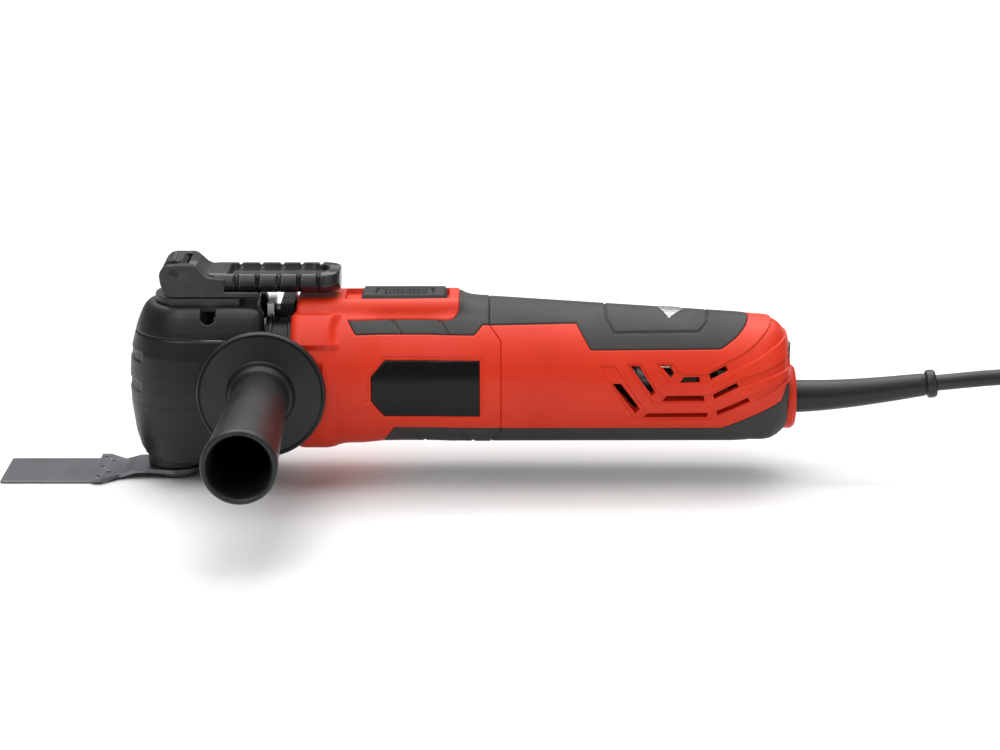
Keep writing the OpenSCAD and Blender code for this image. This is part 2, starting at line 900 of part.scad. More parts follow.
module clamp_lever() {
  grip_end = pin_x + lever_len;
  grip_half = 14;
  grip_low = 83.8;
  grip_high = 92;
  ear = [[-3.9, 91.6], [-3.2, 94.6], [-0.8, 96.2], [3, 96.6], [9, 96.6], [12.4, 94.2], [17.4, 91.2], [24, 90.2],
    [24, 84.5], [39, 84.5], [39, 82.1], [1, 82.1], [-1.4, 83.6], [-3.2, 87.2]];
  rail = [[14, 82.1], [14, 88], [24, 88], [36, 84.6], [39, 82.1]];
  color(dark) difference() {
    union() {
      intersection() {
        side_prism(ear, ear_half);
        block([-10, 22], [-30, 30], [80, 100]);
      }
      side_prism(rail, ear_half - 1);
      intersection() {
        block([16, grip_end], [-grip_half, grip_half], [grip_low, grip_high]);
        union() {
          block([16, grip_end - 8], [-grip_half, grip_half], [80, 100]);
          for (y = [8 - grip_half, grip_half - 8]) {
            upright(80, 20, 8, grip_end - 8, y);
          }
          block([16, grip_end], [8 - grip_half, grip_half - 8], [80, 100]);
        }
      }
    }
    block([-10, 8.6], [-10, 10], [70, 110]);
    block([5, 40], [-9, 9], [80, 84.4]);
    block([25, grip_end - 9], [-9.6, 9.6], [89.4, 100]);
    along_y(pin_x, pin_z, -30, 30, pin_r);
    for (x = [29 : 8.75 : 65], side = [-1, 1]) {
      along_y(x, 88, side > 0 ? grip_half - 1.2 : -20, side > 0 ? 20 : 1.2 - grip_half, 2.4);
    }
  }
}

module lever_pin() {
  color(steel) along_y(pin_x, pin_z, -ear_half - 0.4, ear_half + 0.4, pin_r);
}

module clamp_bolt() {
  color(black_steel) difference() {
    union() {
      cylinder(h = 0.8, r1 = 8.8, r2 = 9.6);
      upright(0.8, hub_low - 0.8, 9.6);
      upright(hub_low, bolt_top - hub_low, bolt_r);
    }
    for (z = [21 : 2 : 25]) {
      difference() {
        upright(z, 1, 8);
        upright(z - 1, 3, 4.2);
      }
    }
    translate([0, 0, -1]) cylinder(h = 3, r = 3.2, $fn = 6);
  }
}

module saw_blade() {
  teeth = 22;
  pitch = blade_w / teeth;
  edge = [for (i = [0 : teeth - 1]) each [
    [-blade_reach + 1.2, -blade_w / 2 + pitch * i],
    [-blade_reach, -blade_w / 2 + pitch * (i + 0.5)]]];
  color(black_steel) linear_extrude(height = blade_t)
    polygon(concat([[-24.6, -9], [-30, -blade_w / 2], [-blade_reach + 1.2, -blade_w / 2]], edge,
      [[-blade_reach + 1.2, blade_w / 2], [-30, blade_w / 2], [-24.6, 9]]));
}

module blade_holder() {
  outline = [[-35.5, -18.6], [-35.5, 18.6], [-31.5, 18.6], [-24.6, 12], [-20, 10.8], [-12, 11], [0, 13],
    [0, -13], [-12, -11], [-20, -10.8], [-24.6, -12], [-31.5, -18.6]];
  bend = [[-36, blade_t], [-36, 2.7], [-23.8, 2.7], [-17.4, hub_high], [14, hub_high], [14, hub_low],
    [-16.8, hub_low], [-23.2, blade_t]];
  color(black_steel) difference() {
    union() {
      intersection() {
        linear_extrude(height = 10) polygon(outline);
        side_prism(bend, 30);
      }
      upright(hub_low, hub_high - hub_low, 12.4);
    }
    upright(0, 10, bolt_r + 0.1);
    for (a = [45 : 90 : 315]) {
      upright(0, 10, 1.5, drive_pin_circle * cos(a), drive_pin_circle * sin(a));
    }
    for (p = [[-33, -14], [-29.4, -8.4], [-33, 0], [-29.4, 8.4], [-33, 14]]) {
      upright(2.35, 5, 0.9, p[0], p[1]);
    }
  }
}

module handle_grip() {
  end = boss_y + handle_len;
  outer = [[0, boss_y], [guard_r - 1, boss_y], [guard_r, boss_y + 1], [guard_r, boss_y + 3.4],
    [guard_r - 1, boss_y + 4.4], [14.6, boss_y + 5], [14, boss_y + 7.6], [11.2, boss_y + 8.6],
    [11.2, boss_y + 12], [handle_end_r - 0.4, end - 4], [handle_end_r, end - 3], [handle_end_r, end - 0.8],
    [handle_end_r - 0.8, end]];
  inside = [[handle_end_r - 2.9, end], [8.6, boss_y + 16], [7.6, boss_y + 15], [0, boss_y + 15]];
  color(dark) difference() {
    translate([boss_x, 0, boss_z]) rotate([90, 0, 0]) rotate_extrude() polygon(concat(outer, inside));
    along_y(boss_x, boss_z, -boss_y - 11, -boss_y + 1, thread_r);
  }
}

module handle_stud() {
  color(steel) along_y(boss_x, boss_z, -boss_y - 11, thread_depth - boss_y - 0.5, thread_r);
}

module switch_button() {
  color(dark) difference() {
    union() {
      block([82, 118.6], [-9, 9], [78.6, 81]);
      intersection() {
        block([83.2, 117.4], [-8, 8], [80, 82.2]);
        side_prism([[82, 80], [85.4, 82.2], [90, 82.2], [95, 81], [106, 81], [111, 82.2], [115.6, 82.2],
          [118, 80]]);
      }
      for (x = [95 : 2 : 105]) {
        block([x, x + 0.9], [-7, 7], [80.5, 81.9]);
      }
    }
    block([94.8, 106.2], [-8.6, 8.6], [77, 79.4]);
  }
}

module switch_link() {
  color(grey) {
    block([95, 106], [-8.4, 8.4], [78.6, 79.4]);
    block([95, 99.6], [-3, 3], [67, 78.6]);
  }
}

module speed_dial() {
  color(dark) difference() {
    upright(51.2, 7.6, dial_r, dial_x);
    upright(40, 20, 2 + run_gap, dial_x);
    for (a = [0 : 24 : 336]) {
      upright(50, 10, 0.8, dial_x + (dial_r + 0.3) * cos(a), (dial_r + 0.3) * sin(a));
    }
  }
}

gear_housing();
head_cover();
head_cap();
cam_plate();
neck_ring();
front_shell_left();
front_shell_right();
rear_shell_left();
rear_shell_right();
front_grips();
rear_grips();
front_pads();
rear_pads();
cord_collar();
side_plates();
indicator_lens();
shell_screws();
gear_screws();
stator();
field_coils();
motor_bearings();
spindle_bearings();
brush_holders();
brushes();
brush_springs();
switch_module();
speed_controller();
cord_clamp();
cord_boot();
cord();
cord_coil();
cord_tie();
plug();
plug_pins();
armature();
armature_windings();
motor_shaft();
commutator();
fan();
eccentric();
eccentric_bearing();
spindle();
drive_fork();
drive_flange();
clamp_rod();
clamp_barrel();
clamp_spring();
clamp_lever();
lever_pin();
clamp_bolt();
saw_blade();
blade_holder();
handle_grip();
handle_stud();
switch_button();
switch_link();
speed_dial();
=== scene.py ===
import json
import math

import bmesh
import bpy
import numpy as np
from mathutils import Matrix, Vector


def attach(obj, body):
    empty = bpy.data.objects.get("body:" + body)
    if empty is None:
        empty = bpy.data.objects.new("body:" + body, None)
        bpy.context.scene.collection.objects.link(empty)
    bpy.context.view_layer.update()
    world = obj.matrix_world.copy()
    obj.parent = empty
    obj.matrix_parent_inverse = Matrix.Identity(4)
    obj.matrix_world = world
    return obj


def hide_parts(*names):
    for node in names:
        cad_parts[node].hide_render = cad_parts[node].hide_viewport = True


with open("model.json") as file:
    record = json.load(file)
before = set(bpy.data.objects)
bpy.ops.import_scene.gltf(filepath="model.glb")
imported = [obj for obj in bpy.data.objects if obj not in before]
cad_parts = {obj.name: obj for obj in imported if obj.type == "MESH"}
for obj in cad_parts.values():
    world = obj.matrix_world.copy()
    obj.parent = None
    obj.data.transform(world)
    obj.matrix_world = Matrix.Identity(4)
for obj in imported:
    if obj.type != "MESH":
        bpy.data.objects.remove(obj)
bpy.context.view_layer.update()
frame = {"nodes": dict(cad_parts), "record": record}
NODES = frame["nodes"]
MM = 0.001
MOTOR_Z = 47.0


# ---------------------------------------------------------------- camera
CAMERA_TARGET = Vector((0.1414, 0.0, 0.0442))
CAMERA_ELEVATION = math.radians(15.5)
CAMERA_DISTANCE = 1.2
camera_data = bpy.data.cameras.new("camera")
camera_data.sensor_width = 36.0
camera_data.lens = 99.3
camera_data.clip_start = 0.05
camera_data.clip_end = 30.0
camera = bpy.data.objects.new("camera", camera_data)
bpy.context.scene.collection.objects.link(camera)
camera.location = CAMERA_TARGET + CAMERA_DISTANCE * Vector(
    (0.0, -math.cos(CAMERA_ELEVATION), math.sin(CAMERA_ELEVATION))
)
camera.rotation_euler = (math.pi / 2 - CAMERA_ELEVATION, 0.0, 0.0)
bpy.context.scene.camera = camera
bpy.context.scene.view_settings.view_transform = "Standard"


# ---------------------------------------------------------------- materials
class Nodes:
    """A material's node tree, with short ways to add and link nodes."""

    def __init__(self, name):
        self.material = bpy.data.materials.new(name)
        self.material.use_nodes = True
        self.tree = self.material.node_tree
        self.shader = self.tree.nodes["Principled BSDF"]

    def add(self, kind, **inputs):
        node = self.tree.nodes.new(kind)
        for key, value in inputs.items():
            socket = node.inputs[int(key[1:])] if key[1:].isdigit() else node.inputs[key.replace("_", " ")]
            self.put(socket, value)
        return node

    def put(self, socket, value):
        if isinstance(value, bpy.types.NodeSocket):
            self.tree.links.new(value, socket)
        else:
            socket.default_value = value

    def noise(self, scale, detail=4.0, rough=0.55, where=None):
        node = self.add("ShaderNodeTexNoise", Scale=scale, Detail=detail, Roughness=rough)
        self.put(node.inputs["Vector"], where or self.coords())
        return node.outputs["Fac"]

    def coords(self):
        return self.add("ShaderNodeTexCoord").outputs["Object"]

    def ramp(self, factor, stops):
        node = self.add("ShaderNodeValToRGB")
        ramp = node.color_ramp
        while len(ramp.elements) < len(stops):
            ramp.elements.new(0.5)
        for element, (at, colour) in zip(ramp.elements, stops):
            element.position = at
            element.color = (*colour, 1.0) if len(colour) == 3 else colour
        self.put(node.inputs["Fac"], factor)
        return node.outputs["Color"]

    def maths(self, operation, a, b):
        node = self.tree.nodes.new("ShaderNodeMath")
        node.operation = operation
        self.put(node.inputs[0], a)
        self.put(node.inputs[1], b)
        return node.outputs[0]

    def mix(self, factor, a, b):
        node = self.tree.nodes.new("ShaderNodeMix")
        node.data_type = "RGBA"
        self.put(node.inputs[0], factor)
        self.put(node.inputs[6], a)
        self.put(node.inputs[7], b)
        return node.outputs[2]

    def bump(self, height, strength, distance):
        node = self.add("ShaderNodeBump", Height=height)
        node.inputs["Strength"].default_value = strength
        node.inputs["Distance"].default_value = distance
        self.put(self.shader.inputs["Normal"], node.outputs["Normal"])
        return node


def srgb(r, g, b):
    """A colour given in 8-bit display values, as linear light."""
    return tuple(
        c / 255 / 12.92 if c / 255 <= 0.04045 else ((c / 255 + 0.055) / 1.055) ** 2.4
        for c in (r, g, b)
    )


def moulded(name, dark, light, rough, grain=900.0, bump=0.25, depth=0.00006, wear=None, coat=0.0, shine=0.28):
    """Moulded plastic or rubber: fine spark-eroded grain, faint flow mottling, paler worn edges."""
    n = Nodes(name)
    mottle = n.noise(34.0, 5.0)
    fine = n.noise(grain, 3.0, 0.6)
    body = n.ramp(mottle, [(0.3, dark), (0.7, light)])
    pointed = n.add("ShaderNodeNewGeometry").outputs["Pointiness"]
    edge = n.ramp(pointed, [(0.51, (0, 0, 0)), (0.58, (1, 1, 1))])
    if wear is None:
        wear = tuple(min(1.0, c * 1.35 + 0.012) for c in light)
    patchy = n.ramp(n.noise(160.0, 4.0), [(0.38, (0, 0, 0)), (0.62, (0.7, 0.7, 0.7))])
    worn = n.maths("MULTIPLY", edge, patchy)
    n.put(n.shader.inputs["Base Color"], n.mix(worn, body, (*wear, 1.0)))
    spread = n.ramp(n.noise(70.0, 4.0), [(0.3, (rough - 0.05,) * 3), (0.7, (rough + 0.06,) * 3)])
    n.put(n.shader.inputs["Roughness"], spread)
    n.shader.inputs["Coat Weight"].default_value = coat
    n.shader.inputs["Coat Roughness"].default_value = 0.25
    n.shader.inputs["Specular IOR Level"].default_value = shine
    n.bump(fine, bump, depth)
    return n.material


def metal(name, dark, light, rough, streak=(1.0, 1.0, 14.0), bump=0.12, depth=0.00003, metallic=1.0):
    """Machined or cast metal: streaks along one way, stains, scuffed edges."""
    n = Nodes(name)
    mapping = n.add("ShaderNodeMapping", Vector=n.coords())
    mapping.inputs["Scale"].default_value = streak
    lines = n.noise(260.0, 6.0, 0.65, mapping.outputs["Vector"])
    stain = n.noise(45.0, 4.0)
    both = n.maths("ADD", n.maths("MULTIPLY", lines, 0.55), n.maths("MULTIPLY", stain, 0.45))
    body = n.ramp(both, [(0.3, dark), (0.7, light)])
    edge = n.ramp(n.add("ShaderNodeNewGeometry").outputs["Pointiness"], [(0.52, (0, 0, 0)), (0.6, (1, 1, 1))])
    n.put(n.shader.inputs["Base Color"], n.mix(edge, body, (*(min(1.0, c * 1.6 + 0.03) for c in light), 1.0)))
    n.shader.inputs["Metallic"].default_value = metallic
    spread_of_rough = n.ramp(both, [(0.3, (rough - 0.08,) * 3), (0.7, (rough + 0.08,) * 3)])
    n.put(n.shader.inputs["Roughness"], spread_of_rough)
    n.bump(lines, bump, depth)
    return n.material


def clear(name):
    n = Nodes(name)
    smear = n.noise(220.0, 4.0)
    n.put(n.shader.inputs["Base Color"], n.ramp(smear, [(0.3, (0.72, 0.75, 0.76)), (0.7, (0.9, 0.92, 0.93))]))
    n.shader.inputs["Transmission Weight"].default_value = 0.8
    n.shader.inputs["IOR"].default_value = 1.49
    n.put(n.shader.inputs["Roughness"], n.ramp(smear, [(0.35, (0.04,) * 3), (0.65, (0.12,) * 3)]))
    n.bump(n.noise(90.0, 2.0), 0.05, 0.0002)
    return n.material


RED = moulded("red_plastic", srgb(203, 45, 18), srgb(214, 52, 22), 0.42, bump=0.2, shine=0.28)
BLACK = moulded("black_plastic", srgb(15, 16, 17), srgb(22, 23, 24), 0.4, bump=0.22, shine=0.33)
GREY = moulded("grey_rubber", srgb(48, 49, 48), srgb(58, 59, 57), 0.6, grain=1300.0, bump=0.35)
GLOSS = moulded("gloss_black", srgb(7, 7, 8), srgb(11, 11, 12), 0.24, bump=0.03, shine=0.2, coat=0.05)
SATIN = moulded("satin_black", srgb(21, 21, 23), srgb(26, 26, 28), 0.27, bump=0.08, shine=0.42, coat=0.12)
RUBBER = moulded("black_rubber", srgb(17, 18, 20), srgb(25, 26, 28), 0.4, grain=1100.0, bump=0.2, shine=0.42)
WHITE = moulded("white_plastic", srgb(200, 196, 184), srgb(216, 212, 200), 0.5)
CARBON = moulded("carbon", srgb(48, 48, 50), srgb(60, 60, 62), 0.7, bump=0.4)
BOARD = moulded("circuit_board", srgb(24, 88, 48), srgb(34, 108, 60), 0.3, coat=0.4)
STEEL = metal("steel", (0.42, 0.42, 0.43), (0.62, 0.62, 0.63), 0.32)
ALLOY = metal("cast_alloy", (0.5, 0.5, 0.51), (0.64, 0.64, 0.65), 0.5, (1, 1, 1), 0.3, 0.0001)
CORE = metal("core_steel", (0.22, 0.22, 0.23), (0.36, 0.36, 0.37), 0.45, (26.0, 1.0, 1.0))
COPPER = metal("copper", (0.5, 0.22, 0.1), (0.72, 0.36, 0.2), 0.35, (1.0, 9.0, 9.0))
BRASS = metal("brass", (0.6, 0.44, 0.18), (0.76, 0.58, 0.28), 0.3)
OXIDE = metal("black_steel", srgb(72, 74, 77), srgb(96, 98, 102), 0.36, (1.0, 9.0, 1.0), 0.1, 0.00003, 0.75)
BLUED = metal("blued_steel", srgb(22, 22, 24), srgb(34, 34, 37), 0.45, (1.0, 9.0, 1.0), 0.1, 0.00003, 0.4)
LENS = clear("lens")
BY_SLOT = {
    "cast_alloy": ALLOY, "black_plastic": BLACK, "red_plastic": RED, "grey_rubber": GREY,
    "gloss_black": GLOSS, "lens": LENS, "steel": STEEL, "black_steel": OXIDE, "core_steel": CORE,
    "copper": COPPER, "brass": BRASS, "carbon": CARBON, "circuit_board": BOARD,
    "white_plastic": WHITE, "black_rubber": RUBBER,
}


# ---------------------------------------------------------------- the cord
CORD = 0.007
COIL_CENTRE = (0.430, 0.0385)
COIL_BASE = 0.0008
INNER_TURN = 0.0385
OUTER_TURN = 0.0455


def eased(t):
    t = min(1.0, max(0.0, t))
    return t * t * (3 - 2 * t)


def cord_route():
    """Out of the boot, over the coil, four turns down inside, three up outside, then the plug."""
    lead = [(331.2, 0, 40.6), (338, 0, 41.3), (345, 0, 42), (352, 0, 42.7), (359, 0, 43.2),
            (366, 0, 43.3), (373, 0, 43), (380, 0, 41.5), (387, 0, 39.2), (394, 0, 36.2), (401, 0, 33),
            (408, 0, 30), (416, 0, 27.4), (423, 0, 25.9)]
    route = [tuple(c * MM for c in p) for p in lead]
    top, bottom = COIL_BASE + 3.5 * CORD, COIL_BASE + 0.5 * CORD
    steps = 24
    for i in range(4 * steps + 1):
        turns = i / steps
        route.append((INNER_TURN, turns, top - (top - bottom) * min(1.0, turns / 3.4)))
    high = COIL_BASE + 2.5 * CORD
    for i in range(1, 3 * steps + 1):
        turns = i / steps
        radius = INNER_TURN + (OUTER_TURN - INNER_TURN) * eased(turns / 0.35)
        lift = (high - bottom) / 2
        rise = bottom + lift * eased((turns - 0.5) / 1.0) + lift * eased((turns - 1.6) / 0.9)
        route.append((radius, 4 + turns, rise))
    points = route[: len(lead)]
    for radius, turns, z in route[len(lead):]:
        angle = 2 * math.pi * turns - math.pi / 2
        x = COIL_CENTRE[0] + radius * math.cos(angle)
        y = COIL_CENTRE[1] + radius * math.sin(angle)
        points.append((x, y, z))
    tail = [(437, -6.6, 22.4), (444, -4.4, 26.8), (450.5, -0.4, 31.6), (455.6, 4.6, 35.4),
            (459.3, 10.4, 38.2), (461.6, 16.4, 40.2), (462.7, 22.4, 41.5), (463, 28, 42)]
    return points + [tuple(c * MM for c in p) for p in tail]


def cord_piece():
    curve = bpy.data.curves.new("mains_cord", "CURVE")
    curve.dimensions = "3D"
    curve.bevel_depth = CORD / 2
    curve.bevel_resolution = 6
    curve.use_fill_caps = True
    route = cord_route()
    spline = curve.splines.new("POLY")
    spline.points.add(len(route) - 1)
    for point, place in zip(spline.points, route):
        point.co = (*place, 1.0)
        point.radius = 1.0
    spline.use_smooth = True
    piece = bpy.data.objects.new("mains_cord", curve)
    bpy.context.scene.collection.objects.link(piece)
    curve.materials.append(RUBBER)
    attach(piece, "housing")
    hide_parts("cord", "cord_coil")
    return piece


cord_piece()


# ---------------------------------------------------------------- carried-over CAD nodes
OWN_MATERIAL = {
    "cam_plate": BLUED, "lever_pin": BLUED, "clamp_barrel": BLUED, "drive_flange": BLUED, "neck_ring": GLOSS,
}


def dress(node, slot, width=0.00025, segments=2):
    """Gives a CAD node its material and softly rounded edges."""
    o = NODES[node]
    o.data.materials.clear()
    o.data.materials.append(OWN_MATERIAL.get(node, BY_SLOT[slot]))
    for polygon in o.data.polygons:
        polygon.use_smooth = True
    weld = o.modifiers.new("weld", "WELD")
    weld.merge_threshold = 0.000002
    if width:
        bevel = o.modifiers.new("bevel", "BEVEL")
        bevel.width = width
        bevel.segments = segments
        bevel.limit_method = "ANGLE"
        bevel.angle_limit = math.radians(32)
        bevel.harden_normals = False
    normals = o.modifiers.new("normals", "WEIGHTED_NORMAL")
    normals.keep_sharp = False
    return o


for part in frame["record"]["subparts"]:
    dress(part["node"], part["material_slot"])


# ---------------------------------------------------------------- skins: dense surfaces cut along drawn lines
class Skin:
    """A triangle surface in millimetres, with the outward direction at each vertex."""

    def __init__(self, places, outward, triangles):
        self.v = np.asarray(places, float)
        self.n = np.asarray(outward, float)
        self.t = np.asarray(triangles, int)

    def cut(self, field, *levels):
        """Adds vertices where the field crosses each level, so that no triangle straddles one."""
        for level in levels:
            f = field(self.v) - level
            side = np.where(np.abs(f) < 0.02, 0, np.sign(f)).astype(int)
            corner = side[self.t]
            mixed = (corner.min(1) < 0) & (corner.max(1) > 0)
            if not mixed.any():
                continue
            kept, split, signs = self.t[~mixed], self.t[mixed], corner[mixed]
            on = (signs == 0).any(1)
            touching = np.argmax(signs == 0, axis=1)
            alone = np.argmax(signs == -np.sign(signs.sum(1))[:, None], axis=1)
            first = np.where(on, touching, alone)
            turned = np.stack([split[np.arange(len(split)), (first + k) % 3] for k in range(3)], 1)
            pairs = np.concatenate([turned[on][:, 1:], turned[~on][:, :2], turned[~on][:, ::2]])
            ordered = np.sort(pairs, axis=1)
            unique, back = np.unique(ordered, axis=0, return_inverse=True)
            back = back.reshape(-1) + len(self.v)
            share = (f[unique[:, 0]] / (f[unique[:, 0]] - f[unique[:, 1]]))[:, None]
            one, other = unique.T
            self.v = np.concatenate([self.v, self.v[one] * (1 - share) + self.v[other] * share])
            self.n = np.concatenate([self.n, self.n[one] * (1 - share) + self.n[other] * share])
            count, rest = int(on.sum()), int((~on).sum())
            middle, ab, ac = back[:count], back[count:count + rest], back[count + rest:]
            z, a, b = turned[on].T
            pieces = [np.stack([z, a, middle], 1), np.stack([z, middle, b], 1)]
            a, b, c = turned[~on].T
            pieces += [np.stack([a, ab, ac], 1), np.stack([ab, b, c], 1), np.stack([ab, c, ac], 1)]
            self.t = np.concatenate([kept, *pieces])
        return self

    def where(self, keep):
        """The part of the surface whose triangles' centres pass the test."""
        t = self.t[keep(self.v[self.t].mean(1))]
        used, fresh = np.unique(t, return_inverse=True)
        return Skin(self.v[used], self.n[used], fresh.reshape(-1, 3))


def tube_skin(rows, turns):
    """Joins rows of points round an axis, each row (places, outward), into one closed-round surface."""
    count = len(rows)
    v = np.concatenate([r[0] for r in rows])
    n = np.concatenate([r[1] for r in rows])
    i, j = np.meshgrid(np.arange(count - 1), np.arange(turns), indexing="ij")
    a = (i * turns + j).ravel()
    b = (i * turns + (j + 1) % turns).ravel()
    c, d = a + turns, b + turns
    return Skin(v, n, np.concatenate([np.stack([a, b, d], 1), np.stack([a, d, c], 1)]))


def away(points, line):
    """Distance in the X-Z plane from an open line."""
    best = np.full(len(points), 1e9)
    p = points[:, [0, 2]]
    for a, b in zip(line, line[1:]):
        a, b = np.array(a, float), np.array(b, float)
        along = np.clip(((p - a) @ (b - a)) / ((b - a) @ (b - a)), 0, 1)
        best = np.minimum(best, np.hypot(*(p - a - along[:, None] * (b - a)).T))
    return best


def inside(points, outline):
    """Signed distance in the X-Z plane from a closed outline, negative within it."""
    outline = list(outline) + [outline[0]]
    x, z = points[:, 0], points[:, 2]
    within = np.zeros(len(points), bool)
    for (xa, za), (xb, zb) in zip(outline, outline[1:]):
        if za != zb:
            within ^= ((za > z) != (zb > z)) & (x < (xb - xa) * (z - za) / (zb - za) + xa)
    return np.where(within, -1, 1) * away(points, outline)


def smooth(a, b, f):
    t = np.clip((f - a) / (b - a), 0, 1)
    return t * t * (3 - 2 * t)


def groove(distance, width, depth):
    return -depth * (1 - smooth(width * 0.15, width, np.abs(distance)))


def rolled(distance, depth=0.5, width=0.55):
    """How far an edge rolls down next to the line where two mouldings meet."""
    t = 1 - np.clip(np.abs(distance) / width, 0, 1)
    return -depth * t ** 2.2


FAR = 50.0
ROLL_LEVELS = (-0.55, -0.3, -0.12, 0.0, 0.12, 0.3, 0.55)


def smooth_min(a, b, k):
    h = np.clip(0.5 + 0.5 * (b - a) / k, 0, 1)
    return b * (1 - h) + a * h - k * h * (1 - h)


def solid_piece(
    name, skin, raise_by, wall, material, node_names, body="housing", slot=None, tunnels=None, sharp=42
):
    """A closed moulding: the skin moved along its outward directions, and a wall's thickness behind it."""
    wall = wall(skin.v)[:, None] if callable(wall) else wall
    lift = raise_by(skin.v)[:, None]
    unit = skin.n / np.linalg.norm(skin.n, axis=1)[:, None]
    outer = skin.v + unit * lift
    inner = skin.v + unit * (np.minimum(lift, 0) - wall)
    if tunnels is not None:
        tunnels(skin.v, inner)
    count = len(outer)
    edges = np.concatenate([skin.t[:, [0, 1]], skin.t[:, [1, 2]], skin.t[:, [2, 0]]])
    key = np.sort(edges, 1)
    _, first, times = np.unique(key, axis=0, return_index=True, return_counts=True)
    rim = edges[first[times == 1]]
    faces = [tuple(f) for f in skin.t.tolist()]
    faces += [(c + count, b + count, a + count) for a, b, c in skin.t.tolist()]
    faces += [(b, a, a + count, b + count) for a, b in rim.tolist()]
    mesh = bpy.data.meshes.new(name)
    mesh.from_pydata((np.concatenate([outer, inner]) * MM).tolist(), [], faces)
    mesh.validate()
    mesh.shade_smooth()
    mesh.set_sharp_from_angle(angle=math.radians(sharp))
    return place(name, mesh, material, node_names, body, slot)


def place(name, mesh, material, node_names, body, slot=None):
    piece = bpy.data.objects.new(name, mesh)
    bpy.context.scene.collection.objects.link(piece)
    if not mesh.materials:
        mesh.materials.append(material)
    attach(piece, body)
    if node_names:
        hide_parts(*node_names)
    return piece


# ---------------------------------------------------------------- the motor body's shape and its lines
FRONT_RADII = np.array([[54.5, 33.0], [56.5, 33.3], [66, 33.3], [68.5, 33.0], [71.5, 32.2], [82, 32.0],
                        [91, 31.1], [100, 30.95], [112, 31.0], [121, 31.6], [130, 31.75], [142.5, 31.5]])
FRONT_HEIGHTS = np.array([[54.5, 47.0], [110, 47.0], [126, 47.5], [142.5, 47.2]])
SADDLE_TOPS = np.array([[54.5, 78.9], [55.4, 80.0], [57.5, 80.6], [122, 81.0], [123.5, 80.8], [126, 79.2],
                        [128.5, 77.9], [133, 76.9], [143, 76.5]])
REAR_ORIGIN = np.array([120.0, 0.0, 47.9])
REAR_TILT = math.radians(1.854)
REAR_AXIS = np.array([math.cos(REAR_TILT), 0.0, -math.sin(REAR_TILT)])
REAR_UP = np.array([math.sin(REAR_TILT), 0.0, math.cos(REAR_TILT)])
REAR_PROFILE = [[14, 31.64], [60, 30.15], [110, 28.52], [123, 28.1], [128.5, 27.65], [132.5, 27.05],
                [136, 26.2], [139, 25.05], [141.5, 23.5], [143.5, 21.6], [144.9, 19.4], [145.7, 17],
                [146, 14.5], [146, 11], [146, 7], [146, 3], [146, 0.4]]
PARTING = [[137.6, -10], [137.6, 20], [141.8, 26], [141.8, 66], [136.8, 72], [136.8, 100]]
FRONT_GRIP = [[76.5, 73.5], [80, 68.5], [130.5, 68.4], [134, 72], [146, 72], [146, 95], [124, 95],
              [124, 77.5], [123, 75.2], [121.5, 74], [119, 73.5]]
REAR_GRIP = [[130, 71.9], [174, 71.8], [180, 62.2], [235.5, 61.8], [242, 65.6], [246.5, 69.3],
             [249.3, 72.6], [249.3, 95], [130, 95]]
FRONT_PAD = [[91, -5], [91, 18], [96, 27.4], [150, 27.1], [150, -5]]
REAR_PAD = [[130, -5], [130, 27], [236.5, 26.6], [262, 38.9], [264.3, 45.4], [285, 45.4], [285, -5]]
PLATE = [[86.7, 51.9], [92.5, 58.7], [132.8, 58.7], [132.8, 33.2], [92, 33.2], [86.7, 40.8]]
PLATE_RIM = [[85.5, 52.3], [91.9, 59.9], [134, 59.9], [134, 32], [91.4, 32], [85.5, 40.4]]
VENTS = [
    [[189.1, 48.3], [192.9, 48.3], [201.2, 36.4], [199.3, 33.8]],
    [[196.8, 56], [200.7, 56], [207.6, 44.1], [206, 42.5]],
    [[209.7, 56], [213.9, 56], [215.5, 52.6], [214.1, 50.7]],
    [[202.5, 32], [204.4, 34.1], [230, 34.2], [230, 32]],
    [[210.3, 40.1], [212.2, 42.5], [228.1, 42.5], [228.5, 40.1]],
    [[217.8, 48.5], [219.5, 51], [226.3, 51], [226.5, 48.6]],
    [[233.8, 35], [247, 41.4], [248, 39.6], [234.4, 33]],
    [[232, 43.1], [242, 48.3], [243.2, 46.5], [232.8, 41]],
    [[230.2, 52.2], [237.6, 55.8], [238.5, 53.7], [231.2, 49.8]],
]
CHANNELS = [
    [[183.6, 56.1], [199.2, 31.1], [232.2, 31.2], [248.5, 38.6], [258.5, 43], [266, 48], [266, 49.6],
     [259, 46.4], [247.1, 42.2], [233.0, 36.4], [230.6, 35], [204.2, 34.9], [190.2, 56.1]],
    [[194.9, 56.8], [206, 40], [208.8, 39.2], [231, 39.3], [243.4, 45.4], [254, 49.2], [266, 52.2],
     [266, 57.5], [254, 52.8], [242.2, 49.3], [229.5, 43.3], [211.5, 43.2], [208.6, 44.2],
     [201.6, 56.8]],
    [[207.6, 56.8], [213.4, 48.6], [215.8, 47.6], [229.5, 47.6], [239.6, 52.6], [249.6, 56.8],
     [257, 60.4], [266, 64.4], [266, 70], [258.4, 69.6], [254.8, 66.6], [248.6, 62.2], [243.2, 59.2],
     [237.2, 56.7], [228.5, 52.2], [220.4, 52.1], [217.6, 53.4], [214.8, 56.8]],
]
SCREWS = np.array([[76, 28, 19.6], [79.6, 62.5, 19.6], [108, 22.9, 12.6], [190, 22.6, 12.6],
                   [232, 22.6, 12.6], [182.2, 66.8, 15.0]])
GRIP_PANEL = [[186.3, 80], [187, 72.8], [190.3, 68.2], [226.3, 67.9], [230, 70.6], [232.6, 80]]
BAND_GROOVES = [
    [[94.6, 76.4], [95.4, 73.8], [97.1, 71.2], [99.9, 67.8]],
    [[114.6, 76.4], [115.6, 73.4], [119.8, 67.8]],
]
